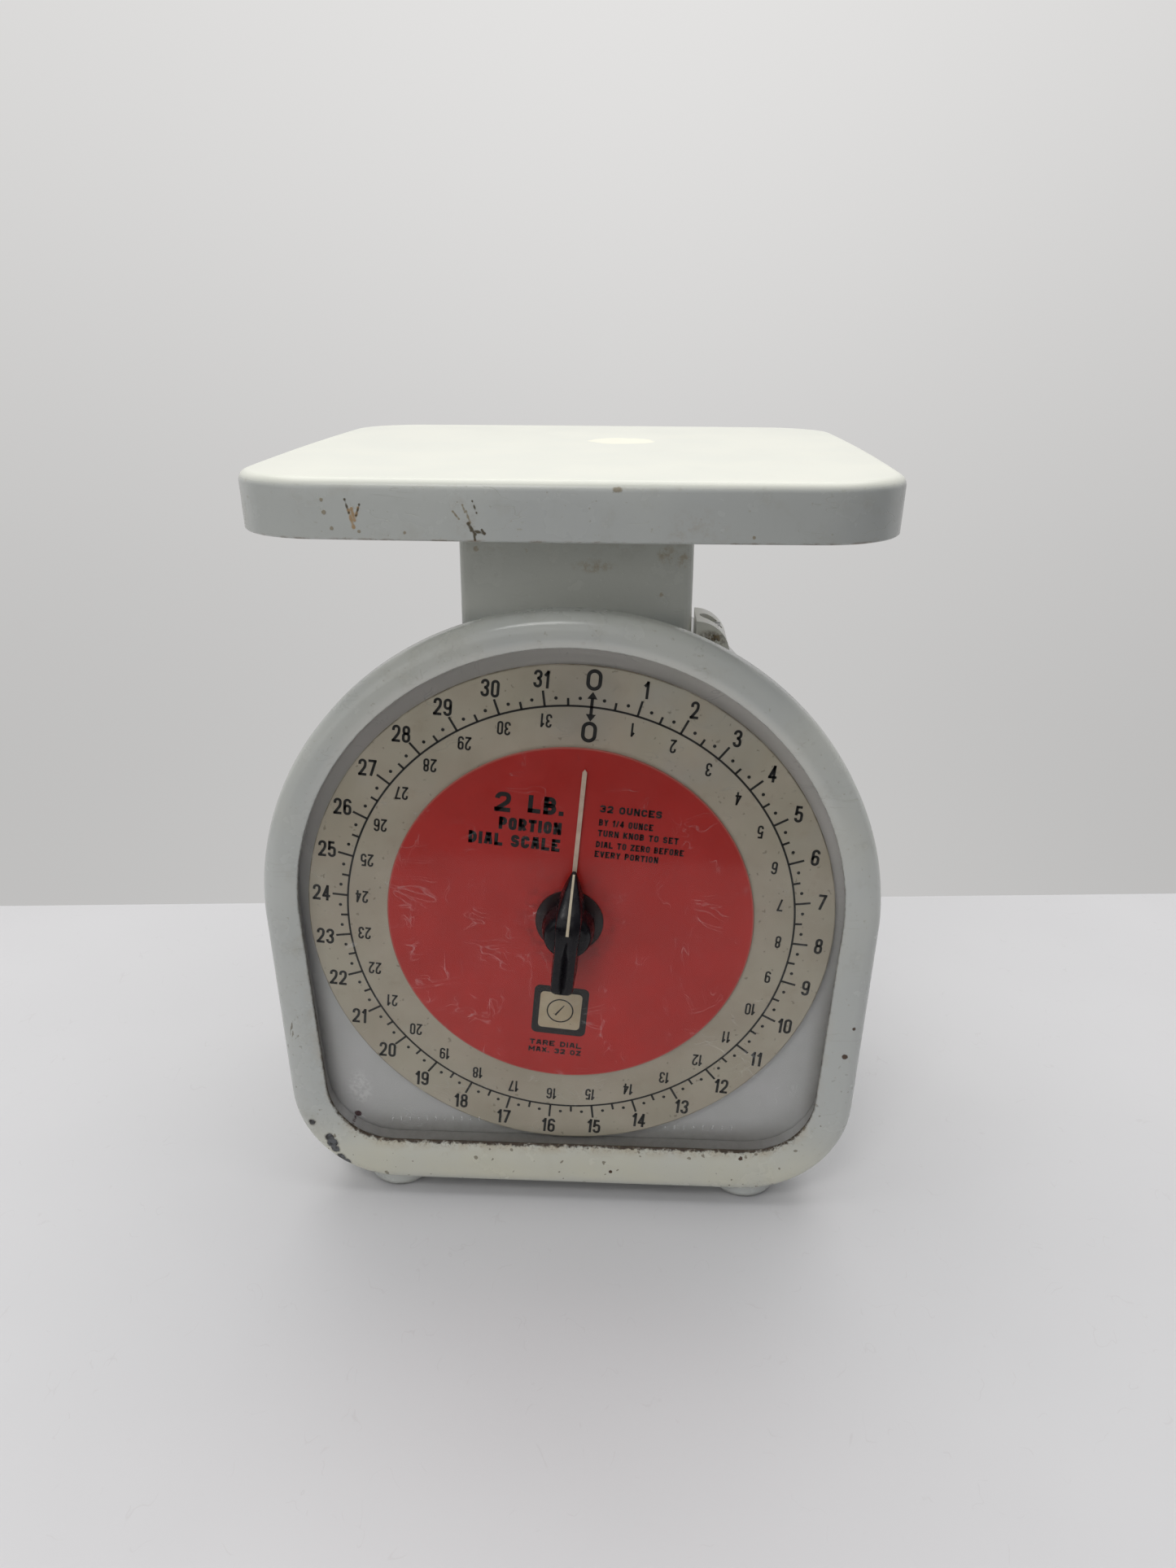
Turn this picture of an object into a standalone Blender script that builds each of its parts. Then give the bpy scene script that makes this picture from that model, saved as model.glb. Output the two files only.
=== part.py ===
"""Mechanical dial portion scale: 2 lb by 1/4 oz, square platform on a square column.

The model stands on its four feet on z = 0. X is to the right of the dial, Y goes to the
back and Z is up; the column's axis is x = y = 0. Sizes are in millimetres and become
metres when a mesh is made.
"""
from math import acos, asin, atan2, cos, pi, radians, sin, sqrt

import bmesh
import bpy
from mathutils import Vector

MM = 0.001
GAP = 0.3                      # clearance kept between touching pieces
SHEET = 1.6                    # thickness of bent steel brackets

# Dial axis, parallel to Y, and how far the zeroed dial is turned clockwise
DIAL_Z = 84.0
DIAL_TURN = radians(5.35)
DIAL_RADIUS = 66.0
RED_RADIUS = 45.9
POINTER_REACH = 61.3

# Front bezel: window outline, outer outline, depth
WINDOW = dict(radius=67.5, centre=87.2, half_low=63.4, bottom=18.0, corner=17.0)
RIM = dict(radius=76.7, centre=86.0, half_low=73.2, bottom=4.6, corner=28.0)
BEZEL_FRONT = -60.5
BEZEL_BACK = -52.5
LIP_BACK = -59.1
RABBET = 2.05
SPACER_WALL = 0.45
RIM_ROUND = 4.0

# Stack behind the window: front and back face of each layer
LENS_Y = (-58.8, -57.6)
HUB_Y = (-57.3, -56.9)
NEEDLE_Y = (-57.3, -56.95)
RED_Y = (-56.6, -56.2)
DIAL_Y = (-55.9, -55.3)
CLIP_Y = (-55.0, -54.6)
POINTER_Y = (-54.25, -53.85)
PLATE_Y = (-53.5, -52.7)
LENS_BOSS_RADIUS = 10.5
LENS_BOSS_FRONT = -59.7

# Rear housing shell
SHELL = dict(radius=71.0, centre=86.0, half_low=67.4, bottom=6.4, corner=17.0)
SHELL_FRONT = -52.2
SHELL_BACK = 44.0
SHELL_WALL = 2.0
SHELL_ROUND = 5.0
SHELL_DRAFT = 8.5
FLOOR_OPENING = (42.0, -46.0, 41.0)

# Base plate and feet
BASE_Z = (4.9, 6.1)
BASE_HALF_WIDTH = 56.0
BASE_DEPTH = 92.0
BASE_CORNER = 10.0
FRAME_SCREW = (26.0, 33.0)     # x to each side, y
FOOT_RADIUS = 8.8
FOOT_HEIGHT = 4.6
FOOT_X = 47.8
FOOT_Y = (-48.5, 33.0)
SCREW_HOLE = 1.9

# Platform and column
PLATFORM_HALF = 72.4
PLATFORM_BOW = 1.6
PLATFORM_CORNER = 19.0
PLATFORM_TOP = 193.5
SKIRT_BOTTOM = 180.7
PLATFORM_WALL = 2.0
PLATFORM_ROUND = 2.4
COLUMN_HALF = 29.0
COLUMN_WALL = 1.8
COLUMN_BOTTOM = 130.0
COLUMN_OPENING = 29.8
PLATFORM_SCREW_X = 14.0
PLATFORM_SCREW_Y = (-8.0, 10.0)
BOSS_DEPTH = 3.6

# Load travel and dial drive: 32 oz turn the pinion once
PITCH_RADIUS = 2.0
PINION_TEETH = 8
TRAVEL = 2 * pi * PITCH_RADIUS
RACK_Y = (-26.2, -23.8)
PINION_Y = (-27.0, -23.0)
RACK_ROOT_X = PITCH_RADIUS + 0.66
RACK_TIP_X = PITCH_RADIUS - 0.34
RACK_BACK_X = 6.6
RACK_TOP = 112.0
RACK_SCREW = (4.6, 109.0)      # x, z
ARBOR_BACK = -19.6
BRIDGE_BACK = -20.0
BRIDGE_HALF = 11.4
BRIDGE_SCREW_X = 16.0
SPINDLE_RADIUS = 2.2
SPINDLE_HOLE = 2.5

# Check links: two equal links, pinned to the frame at the back and the carriage in front
LINK_LENGTH = 46.0
LINK_RISE = TRAVEL / 2
FRAME_PIN_Y = 34.0
FRAME_PIN_Z = (44.0, 100.0)
PIN_RADIUS = 1.5
LINK_HALF_WIDTH = 17.9
CHEEK_IN = 18.8
CHEEK_OUT = 20.4
LINK_ANGLE = atan2(LINK_RISE, sqrt(LINK_LENGTH ** 2 - LINK_RISE ** 2))
CARRIAGE_PIN_Y = FRAME_PIN_Y - LINK_LENGTH * cos(LINK_ANGLE)
CARRIAGE_PIN_Z = tuple(z + LINK_RISE for z in FRAME_PIN_Z)

# Carriage web, spring arms and springs
WEB_Y = (-17.6, -16.0)
SPRING_X = 31.0
SPRING_Y = 6.0
SPRING_Z = (57.3, 109.4)
SPRING_COIL = 3.3
SPRING_WIRE = 0.7
CROSSBAR_Z = (109.8, 112.8)
CARRIAGE_LOW = 36.0
CARRIAGE_CHEEK_TOP = 116.0
FRAME_TOP = 116.0
FRAME_BACK = 40.0

# Zero adjuster on the right of the column, under a round-topped boss on the roof
ZERO_X = 34.2
ZERO_Y = -21.0
BOSS_X = (30.2, 38.8)
BOSS_Y = (-29.0, -13.0)
BOSS_Z = 145.6
BOSS_SKIRT = 5.0
ZERO_NUT_Z = (108.0, 120.0)
ZERO_NUT_HALF = 3.6
ZERO_HEAD = 2.6
ZERO_HEAD_Z = (149.3, 152.0)
ZERO_COIL = 2.2
ZERO_WIRE = 0.4
ZERO_ARM_Z = (57.0, 58.6)


# ---------------------------------------------------------------- materials

def material(name, colour, roughness, metallic=0.0, alpha=1.0):
    mat = bpy.data.materials.new(name)
    mat.use_nodes = True
    shader = mat.node_tree.nodes["Principled BSDF"]
    shader.inputs["Base Color"].default_value = (*colour, 1.0)
    shader.inputs["Roughness"].default_value = roughness
    shader.inputs["Metallic"].default_value = metallic
    shader.inputs["Alpha"].default_value = alpha
    mat.diffuse_color = (*colour, alpha)
    return mat


for old in list(bpy.data.objects):
    bpy.data.objects.remove(old)

ENAMEL = material("blue_grey_enamel", (0.60, 0.66, 0.66), 0.35)
IVORY = material("ivory_enamel", (0.78, 0.79, 0.74), 0.35)
SILVER = material("silver_plate", (0.52, 0.53, 0.55), 0.45, 0.6)
CLEAR = material("clear_acrylic", (0.92, 0.93, 0.92), 0.08, alpha=0.25)
DIAL = material("yellowed_dial_plastic", (0.66, 0.63, 0.54), 0.35)
RED = material("red_dial_centre", (0.42, 0.03, 0.03), 0.35)
BLACK = material("black_knob_plastic", (0.015, 0.015, 0.018), 0.2)
WHITE = material("white_needle_paint", (0.85, 0.78, 0.70), 0.4)
POINTER_RED = material("red_pointer_paint", (0.45, 0.04, 0.03), 0.4)
STEEL = material("zinc_plated_steel", (0.56, 0.56, 0.55), 0.35, 1.0)
SPRING_STEEL = material("spring_steel", (0.40, 0.40, 0.41), 0.3, 1.0)
BRASS = material("brass", (0.70, 0.54, 0.25), 0.3, 1.0)


# ---------------------------------------------------------------- mesh tools

def place(u, v, depth, axis):
    """Point whose outline coordinates are u, v and whose extrusion coordinate is depth."""
    if axis == "X":
        return (depth, u, v)
    if axis == "Y":
        return (u, depth, v)
    return (u, v, depth)


def skin(bm, rings, closed=False):
    """Quads between neighbouring rings; a ring with one vertex is a pole."""
    pairs = list(zip(rings, rings[1:]))
    if closed:
        pairs.append((rings[-1], rings[0]))
    for first, second in pairs:
        count = max(len(first), len(second))
        for i in range(count):
            j = (i + 1) % count
            corners = [first[i % len(first)], first[j % len(first)],
                       second[j % len(second)], second[i % len(second)]]
            bm.faces.new(list(dict.fromkeys(corners)))


def prism(loops, axis, low, high):
    """Straight extrusion of an outline (first loop) with holes (other loops)."""
    bm = bmesh.new()
    sides = []
    edges = []
    for loop in loops:
        near = [bm.verts.new(place(u, v, low, axis)) for u, v in loop]
        far = [bm.verts.new(place(u, v, high, axis)) for u, v in loop]
        sides.append((near, far))
        edges += [bm.edges.new((near[i - 1], near[i])) for i in range(len(near))]
    bmesh.ops.triangle_fill(bm, use_beauty=True, edges=edges)
    across = {n: f for near, far in sides for n, f in zip(near, far)}
    for face in list(bm.faces):
        bm.faces.new([across[v] for v in reversed(face.verts)])
    for near, far in sides:
        skin(bm, [near, far])
    return bm


def block(low, high):
    corners = [(low[0], low[1]), (high[0], low[1]), (high[0], high[1]), (low[0], high[1])]
    return prism([corners], "Z", low[2], high[2])


def circle(u, v, radius, count=16):
    steps = [2 * pi * i / count for i in range(count)]
    return [(u + radius * cos(a), v + radius * sin(a)) for a in steps]


def slot_outline(u, v, half_length, half_height, angle, count=6):
    """Hole with round ends, its long direction turned by angle from the u axis."""
    straight = half_length - half_height
    points = []
    for side in (1, -1):
        for i in range(count + 1):
            a = -pi / 2 + pi * i / count
            p = side * (straight + half_height * cos(a))
            q = side * half_height * sin(a)
            points.append((u + p * cos(angle) - q * sin(angle), v + p * sin(angle) + q * cos(angle)))
    return points


def turned(profile, centre, axis, count=24):
    """Body of revolution; profile is a list of (radius, position along the axis)."""
    bm = bmesh.new()
    rings = []
    for radius, along in profile:
        angles = [2 * pi * i / count for i in range(count)] if radius > 0 else [0.0]
        ring = [place(centre[0] + radius * cos(a), centre[1] + radius * sin(a), along, axis)
                for a in angles]
        rings.append([bm.verts.new(p) for p in ring])
    skin(bm, rings, closed=profile[0][0] > 0)
    return bm


def rod(radius, centre, axis, low, high, count=16):
    return turned([(0, low), (radius, low), (radius, high), (0, high)], centre, axis, count)


def tube(inner, outer, centre, axis, low, high, count=24):
    return turned([(inner, low), (outer, low), (outer, high), (inner, high)], centre, axis, count)


def loft(loops, closed=False):
    """Skin through 3-D loops of equal length, capped at both ends unless closed."""
    bm = bmesh.new()
    rings = [[bm.verts.new(p) for p in loop] for loop in loops]
    skin(bm, rings, closed)
    if not closed:
        bm.faces.new(rings[0])
        bm.faces.new(rings[-1])
    return bm


def coil(centre_x, centre_y, low, high, coil_radius, wire_radius, turns, per_turn=8, sides=4):
    """Helical wire with closed ends."""
    loops = []
    slope = atan2((high - low - 2 * wire_radius) / turns, 2 * pi * coil_radius)
    for i in range(turns * per_turn + 1):
        a = 2 * pi * i / per_turn
        out = Vector((cos(a), sin(a), 0))
        along = Vector((-sin(a) * cos(slope), cos(a) * cos(slope), sin(slope)))
        up = out.cross(along)
        rise = low + wire_radius + (high - low - 2 * wire_radius) * i / (turns * per_turn)
        mid = Vector((centre_x, centre_y, rise)) + coil_radius * out
        spin = [2 * pi * k / sides for k in range(sides)]
        loops.append([mid + wire_radius * (cos(s) * out + sin(s) * up) for s in spin])
    return loft(loops)


def part(name, bm, mat, pivot=(0.0, 0.0, 0.0), smooth=30):
    """Object for one physical piece, with its origin at the pivot."""
    bmesh.ops.recalc_face_normals(bm, faces=bm.faces)
    bmesh.ops.translate(bm, verts=bm.verts, vec=-Vector(pivot))
    bmesh.ops.scale(bm, verts=bm.verts, vec=(MM, MM, MM))
    mesh = bpy.data.meshes.new(name)
    bm.to_mesh(mesh)
    bm.free()
    mesh.materials.append(mat)
    mesh.shade_smooth()
    mesh.set_sharp_from_angle(angle=radians(smooth))
    obj = bpy.data.objects.new(name, mesh)
    obj.location = Vector(pivot) * MM
    bpy.context.collection.objects.link(obj)
    return obj


def combine(obj, operation, shapes):
    """Unite or subtract hidden helper shapes with a Boolean modifier each."""
    for shape in shapes:
        number = len(obj.modifiers) + 1
        helper = part(f"{obj.name}.helper{number}", shape, obj.data.materials[0])
        helper.hide_render = True
        helper.display_type = "WIRE"
        modifier = obj.modifiers.new(f"{operation.lower()}{number}", "BOOLEAN")
        modifier.operation = operation
        modifier.solver = "EXACT"
        modifier.object = helper
    return obj


def screw(name, centre, axis, head_outer, head_inner, end, head_radius, shank_radius):
    """Cheese-head screw: the head lies between head_outer and head_inner, the shank ends at end."""
    profile = [(0, head_outer), (head_radius, head_outer), (head_radius, head_inner),
               (shank_radius, head_inner), (shank_radius, end), (0, end)]
    obj = part(name, turned(profile, centre, axis, 12), STEEL)
    sign = 1 if head_inner > head_outer else -1
    slot_floor = head_outer + 0.45 * (head_inner - head_outer)
    low, high = sorted((head_outer - sign, slot_floor))
    u, v = centre
    reach = head_radius + 1.0
    half = 0.35
    driver_slot = [(u - reach, v - half), (u + reach, v - half), (u + reach, v + half), (u - reach, v + half)]
    return combine(obj, "DIFFERENCE", [prism([driver_slot], axis, low, high)])


# ---------------------------------------------------------------- outlines

def fillet(before, corner, after, radius, count):
    """Arc of the given radius that rounds the corner between two straight runs."""
    back = (Vector(before) - Vector(corner)).normalized()
    ahead = (Vector(after) - Vector(corner)).normalized()
    half = acos(back.dot(ahead)) / 2
    centre = Vector(corner) + (back + ahead).normalized() * radius / sin(half)
    start = Vector(corner) + back * radius / (sin(half) / cos(half)) - centre
    end = Vector(corner) + ahead * radius / (sin(half) / cos(half)) - centre
    first = atan2(start.y, start.x)
    turn = (atan2(end.y, end.x) - first + pi) % (2 * pi) - pi
    angles = [first + turn * i / count for i in range(count + 1)]
    return [(centre.x + radius * cos(a), centre.y + radius * sin(a)) for a in angles]


def arch(radius, centre, half_low, bottom, corner, inset=0.0):
    """Round-topped body outline in x, z: an arc, two leaning sides and rounded lower corners."""
    arc_steps = 32
    corner_steps = 6
    side_steps = 3
    floor_steps = 4
    r = radius - inset
    low = bottom + inset
    half = half_low - inset
    right = (r, centre)
    angles = [pi * i / arc_steps for i in range(arc_steps + 1)]
    top = [(r * cos(a), centre + r * sin(a)) for a in angles]
    arc = fillet((-r, centre), (-half, low), (half, low), corner - inset, corner_steps)
    mirrored = [(-x, z) for x, z in reversed(arc)]
    left_side = [_between((-r, centre), arc[0], k / side_steps) for k in range(1, side_steps)]
    floor = [_between(arc[-1], mirrored[0], k / floor_steps) for k in range(1, floor_steps)]
    right_side = [_between(mirrored[-1], right, k / side_steps) for k in range(1, side_steps)]
    return top + left_side + arc + floor + mirrored + right_side


def _between(a, b, t):
    return (a[0] + (b[0] - a[0]) * t, a[1] + (b[1] - a[1]) * t)


def rounded_square(half, radius, corner_steps=4, bow=0.0, side_steps=1):
    """Square outline with round corners and sides that bow out by the given amount."""
    flat = half - radius
    corners = []
    for quarter, (sx, sy) in enumerate([(1, 1), (-1, 1), (-1, -1), (1, -1)]):
        angles = [pi / 2 * (quarter + i / corner_steps) for i in range(corner_steps + 1)]
        corners.append([(sx * flat + radius * cos(a), sy * flat + radius * sin(a)) for a in angles])
    points = []
    for arc, following in zip(corners, corners[1:] + corners[:1]):
        points += arc + [_between(arc[-1], following[0], k / side_steps) for k in range(1, side_steps)]

    def bowed(along, across):
        return along * (1 + bow / half * (1 - (across / half) ** 2))
    return [(bowed(x, y), bowed(y, x)) for x, y in points]


def at_y(outline, y):
    return [(x, y, z) for x, z in outline]


def at_z(outline, z):
    return [(x, y, z) for x, y in outline]


# ---------------------------------------------------------------- casing

def front_bezel():
    """Picture-frame ring swept between the window outline and the outer outline."""
    inner = [(0.0, LIP_BACK), (0.0, -59.9), (0.35, -60.35), (1.2, BEZEL_FRONT)]
    quarter = [radians(d) for d in (0, 22.5, 45, 67.5, 90)]
    outer = [(RIM_ROUND * (1 - sin(a)), BEZEL_FRONT + RIM_ROUND * (1 - cos(a))) for a in quarter]
    outer += [(0.0, BEZEL_BACK - 0.8), (0.5, BEZEL_BACK)]
    rear = [(RABBET, BEZEL_BACK), (RABBET, LIP_BACK)]
    loops = [at_y(arch(**WINDOW, inset=-offset), y) for offset, y in inner]
    loops += [at_y(arch(**RIM, inset=offset), y) for offset, y in outer]
    loops += [at_y(arch(**WINDOW, inset=-offset), y) for offset, y in rear]
    return part("front_bezel", loft(loops, closed=True), ENAMEL)


def housing_shell():
    """Deep shell behind the bezel, open in front, with the column, floor and screw openings cut."""
    def outline(inset, draft):
        level_floor = dict(SHELL, bottom=SHELL["bottom"] - draft)
        return arch(**level_floor, inset=inset + draft)
    loops = [at_y(outline(SHELL_WALL, SHELL_DRAFT), SHELL_BACK - SHELL_WALL),
             at_y(outline(SHELL_WALL, 0.0), SHELL_FRONT),
             at_y(outline(0.0, 0.0), SHELL_FRONT),
             at_y(outline(0.0, SHELL_DRAFT), SHELL_BACK - SHELL_ROUND)]
    for a in [radians(d) for d in (30, 60, 90)]:
        inset = SHELL_ROUND * (1 - cos(a))
        loops.append(at_y(outline(inset, SHELL_DRAFT), SHELL_BACK - SHELL_ROUND * (1 - sin(a))))
    shell = part("housing_shell", loft(loops), ENAMEL)
    left, right = BOSS_X
    rise = right - left
    round_top = [(left + rise * cos(a), BOSS_Z + rise * sin(a)) for a in [radians(15 * k) for k in range(7)]]
    boss = prism([[(left, BOSS_Z - BOSS_SKIRT), (right, BOSS_Z - BOSS_SKIRT)] + round_top], "Y", *BOSS_Y)
    combine(shell, "UNION", [boss])
    opening = prism([rounded_square(COLUMN_OPENING, 2.8)], "Z", 120.0, 180.0)
    half, front, back = FLOOR_OPENING
    holes = [opening, block((-half, front, 0.0), (half, back, 20.0)),
             rod(SCREW_HOLE, (ZERO_X, ZERO_Y), "Z", 130.0, 160.0, 12),
             rod(ZERO_HEAD + GAP, (ZERO_X, ZERO_Y), "Z", ZERO_HEAD_Z[0] - GAP, 160.0, 16)]
    holes += [rod(SCREW_HOLE, (x, y), "Z", 0.0, 12.0, 12) for x, y in foot_places()]
    return combine(shell, "DIFFERENCE", holes)


def foot_places():
    return [(sx * FOOT_X, y) for y in FOOT_Y for sx in (-1, 1)]


def base_plate():
    front = SHELL_FRONT + 0.2
    back = front + BASE_DEPTH
    square = [(-BASE_HALF_WIDTH, front), (BASE_HALF_WIDTH, front),
              (BASE_HALF_WIDTH, back), (-BASE_HALF_WIDTH, back)]
    outline = []
    for i, corner in enumerate(square):
        outline += fillet(square[i - 1], corner, square[(i + 1) % 4], BASE_CORNER, 4)
    holes = [circle(x, y, SCREW_HOLE, 12) for x, y in foot_places()]
    holes += [circle(sx * FRAME_SCREW[0], FRAME_SCREW[1], 1.6, 12) for sx in (-1, 1)]
    return part("base_plate", prism([outline] + holes, "Z", *BASE_Z), STEEL)


def feet():
    """Low domed foot with a blind screw hole, and the screw that holds it from inside."""
    names = ("front_left", "front_right", "rear_left", "rear_right")
    for name, (x, y) in zip(names, foot_places()):
        rounding = 2.5
        dome = [(FOOT_RADIUS - rounding * (1 - sin(a)), rounding * (1 - cos(a)))
                for a in [radians(d) for d in (0, 30, 60, 90)]]
        profile = [(0.0, 0.0)] + dome
        profile += [(FOOT_RADIUS, FOOT_HEIGHT), (SCREW_HOLE, FOOT_HEIGHT), (SCREW_HOLE, 1.4), (0.0, 1.4)]
        part(f"foot_{name}", turned(profile, (x, y), "Z", 20), ENAMEL)
        floor_top = SHELL["bottom"] + SHELL_WALL
        screw(f"foot_screw_{name}", (x, y), "Z", floor_top + 2.3, floor_top + 0.4, 1.8, 3.0, 1.5)


def lens():
    """Clear window with a raised round boss and the spindle hole at the dial axis."""
    outline = arch(**WINDOW, inset=GAP - RABBET)
    plate = prism([outline], "Y", *LENS_Y)
    obj = part("lens", plate, CLEAR)
    boss = turned([(0, LENS_BOSS_FRONT), (LENS_BOSS_RADIUS - 0.6, LENS_BOSS_FRONT),
                   (LENS_BOSS_RADIUS, LENS_BOSS_FRONT + 0.5), (LENS_BOSS_RADIUS, -58.0), (0, -58.0)],
                  (0, DIAL_Z), "Y", 32)
    combine(obj, "UNION", [boss])
    return combine(obj, "DIFFERENCE", [rod(SPINDLE_RADIUS + GAP, (0, DIAL_Z), "Y", -65.0, -50.0, 20)])


def lens_spacer():
    """Thin strip that stands between the lens and the face plate all round."""
    loops = [arch(**WINDOW, inset=GAP - RABBET), arch(**WINDOW, inset=SPACER_WALL + GAP - RABBET)]
    return part("lens_spacer", prism(loops, "Y", LENS_Y[1] + GAP, PLATE_Y[0] - GAP), ENAMEL)


def face_plate():
    outline = arch(**WINDOW, inset=GAP - RABBET)
    holes = [circle(0, DIAL_Z, 2.4, 16)]
    holes += [circle(sx * BRIDGE_SCREW_X, DIAL_Z, 1.5, 10) for sx in (-1, 1)]
    return part("face_plate", prism([outline] + holes, "Y", *PLATE_Y), SILVER)


# ---------------------------------------------------------------- dial drive

def gear_bridge():
    """U-shaped strap behind the face plate that carries the rear bearing of the pointer arbor."""
    front = PLATE_Y[1] + GAP
    back = BRIDGE_BACK
    ear = BRIDGE_SCREW_X + 3.0
    inner = BRIDGE_HALF
    outer = inner + SHEET
    right_half = [(inner, back - SHEET), (inner, front), (ear, front), (ear, front + SHEET),
                  (outer, front + SHEET), (outer, back)]
    strap = right_half + [(-x, y) for x, y in reversed(right_half)]
    obj = part("gear_bridge", prism([strap], "Z", DIAL_Z - 5.0, DIAL_Z + 5.0), STEEL)
    holes = [rod(2.3, (0, DIAL_Z), "Y", back - 5.0, back + 5.0, 16)]
    holes += [rod(1.5, (sx * BRIDGE_SCREW_X, DIAL_Z), "Y", front - 1.0, front + 4.0, 10) for sx in (-1, 1)]
    combine(obj, "DIFFERENCE", holes)
    for name, sx in (("left", -1), ("right", 1)):
        screw(f"bridge_screw_{name}", (sx * BRIDGE_SCREW_X, DIAL_Z), "Y",
              front + SHEET + 1.6, front + SHEET + GAP, PLATE_Y[0] + 0.1, 2.4, 1.2)
    rear = [(1.3, back - SHEET - 1.2), (3.4, back - SHEET - 1.2), (3.4, back - SHEET - GAP),
            (2.0, back - SHEET - GAP), (2.0, back + 0.6), (1.3, back + 0.6)]
    part("rear_bush", turned(rear, (0, DIAL_Z), "Y", 16), BRASS)
    front_bush = [(1.3, PLATE_Y[0] + 0.1), (2.1, PLATE_Y[0] + 0.1), (2.1, front), (3.6, front),
                  (3.6, front + 1.4), (1.3, front + 1.4)]
    part("front_bush", turned(front_bush, (0, DIAL_Z), "Y", 16), BRASS)


def pinion_outline():
    """Narrow-toothed pinion, which leaves side play in the rack."""
    tooth = [(1.42, 0.40), (PITCH_RADIUS, 0.26), (2.34, 0.12)]
    points = []
    for k in range(PINION_TEETH):
        middle = 2 * pi * (k + 0.5) / PINION_TEETH
        for radius, half in tooth + [(r, -h) for r, h in reversed(tooth)]:
            a = middle - half / radius
            points.append((radius * cos(a), DIAL_Z + radius * sin(a)))
    return points


def pointer_arbor():
    """Steel arbor with the pinion cut in it, and the red load pointer on its front end."""
    pivot = (0, 0, DIAL_Z)
    arbor = part("pointer_arbor", rod(1.0, (0, DIAL_Z), "Y", POINTER_Y[0] - 0.05, ARBOR_BACK), STEEL, pivot)
    combine(arbor, "UNION", [prism([pinion_outline()], "Y", *PINION_Y)])
    hub = 4.0
    arm = [(0.6, hub - 0.6), (0.35, POINTER_REACH - 2), (0.0, POINTER_REACH), (-0.35, POINTER_REACH - 2),
           (-0.6, hub - 0.6)]
    left_hub = [(hub * cos(a), hub * sin(a)) for a in [radians(d) for d in (120, 150, 180, 210, 240)]]
    tail = [(-0.9, 0.6 - hub), (-2.6, -13.0), (0.0, -15.0), (2.6, -13.0), (0.9, 0.6 - hub)]
    right_hub = [(-x, z) for x, z in reversed(left_hub)]
    outline = turned_clockwise(arm + left_hub + tail + right_hub)
    hole = circle(0, DIAL_Z, 1.3, 12)
    part("load_pointer", prism([outline, hole], "Y", *POINTER_Y), POINTER_RED, pivot)


def rack():
    """Toothed bar on the carriage, to the right of the pinion, teeth to the left."""
    pitch = TRAVEL / PINION_TEETH
    low = DIAL_Z - 5.0
    steps = range(-2, int((TRAVEL + 4.0) / pitch))
    tooth = [(RACK_ROOT_X, -0.42), (RACK_TIP_X, -0.14), (RACK_TIP_X, 0.14), (RACK_ROOT_X, 0.42)]
    teeth = [(x, DIAL_Z + k * pitch + z) for k in steps for x, z in tooth]
    outline = [(RACK_BACK_X, low), (RACK_ROOT_X, low)] + teeth
    outline += [(RACK_ROOT_X, RACK_TOP), (RACK_BACK_X, RACK_TOP)]
    part("rack", prism([outline, circle(*RACK_SCREW, 1.3, 10)], "Y", *RACK_Y), BRASS)
    screw("rack_screw", RACK_SCREW, "Y", RACK_Y[0] - 1.6, RACK_Y[0] - GAP, WEB_Y[0] - 1.0, 2.0, 1.0)


# ---------------------------------------------------------------- tare dial

def tare_dial():
    """All that the front knob turns: spindle, hub, needle, red centre, clear numbered dial and clip."""
    pivot = (0, 0, DIAL_Z)
    axis = (0, DIAL_Z)
    part("tare_spindle", rod(SPINDLE_RADIUS, axis, "Y", -66.0, CLIP_Y[1] - 0.1, 20), BLACK, pivot)
    part("tare_hub", tube(SPINDLE_HOLE, 8.5, axis, "Y", *HUB_Y, 28), BLACK, pivot)
    needle = [(-0.55, 8.8), (0.55, 8.8), (0.55, 40.0), (0.0, 40.8), (-0.55, 40.0)]
    part("tare_needle", prism([turned_clockwise(needle)], "Y", *NEEDLE_Y), WHITE, pivot)
    part("red_disc", tube(SPINDLE_HOLE, RED_RADIUS, axis, "Y", *RED_Y, 56), RED, pivot)
    part("number_dial", tube(SPINDLE_HOLE, DIAL_RADIUS, axis, "Y", *DIAL_Y, 56), DIAL, pivot)
    part("dial_clip", tube(SPINDLE_HOLE, 4.6, axis, "Y", *CLIP_Y, 20), SPRING_STEEL, pivot)
    tare_knob(pivot)


def turned_clockwise(outline):
    """Outline drawn about the dial axis with zero straight up, turned to the dial's zero."""
    c, s = cos(DIAL_TURN), sin(DIAL_TURN)
    return [(x * c + z * s, DIAL_Z - x * s + z * c) for x, z in outline]


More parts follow.
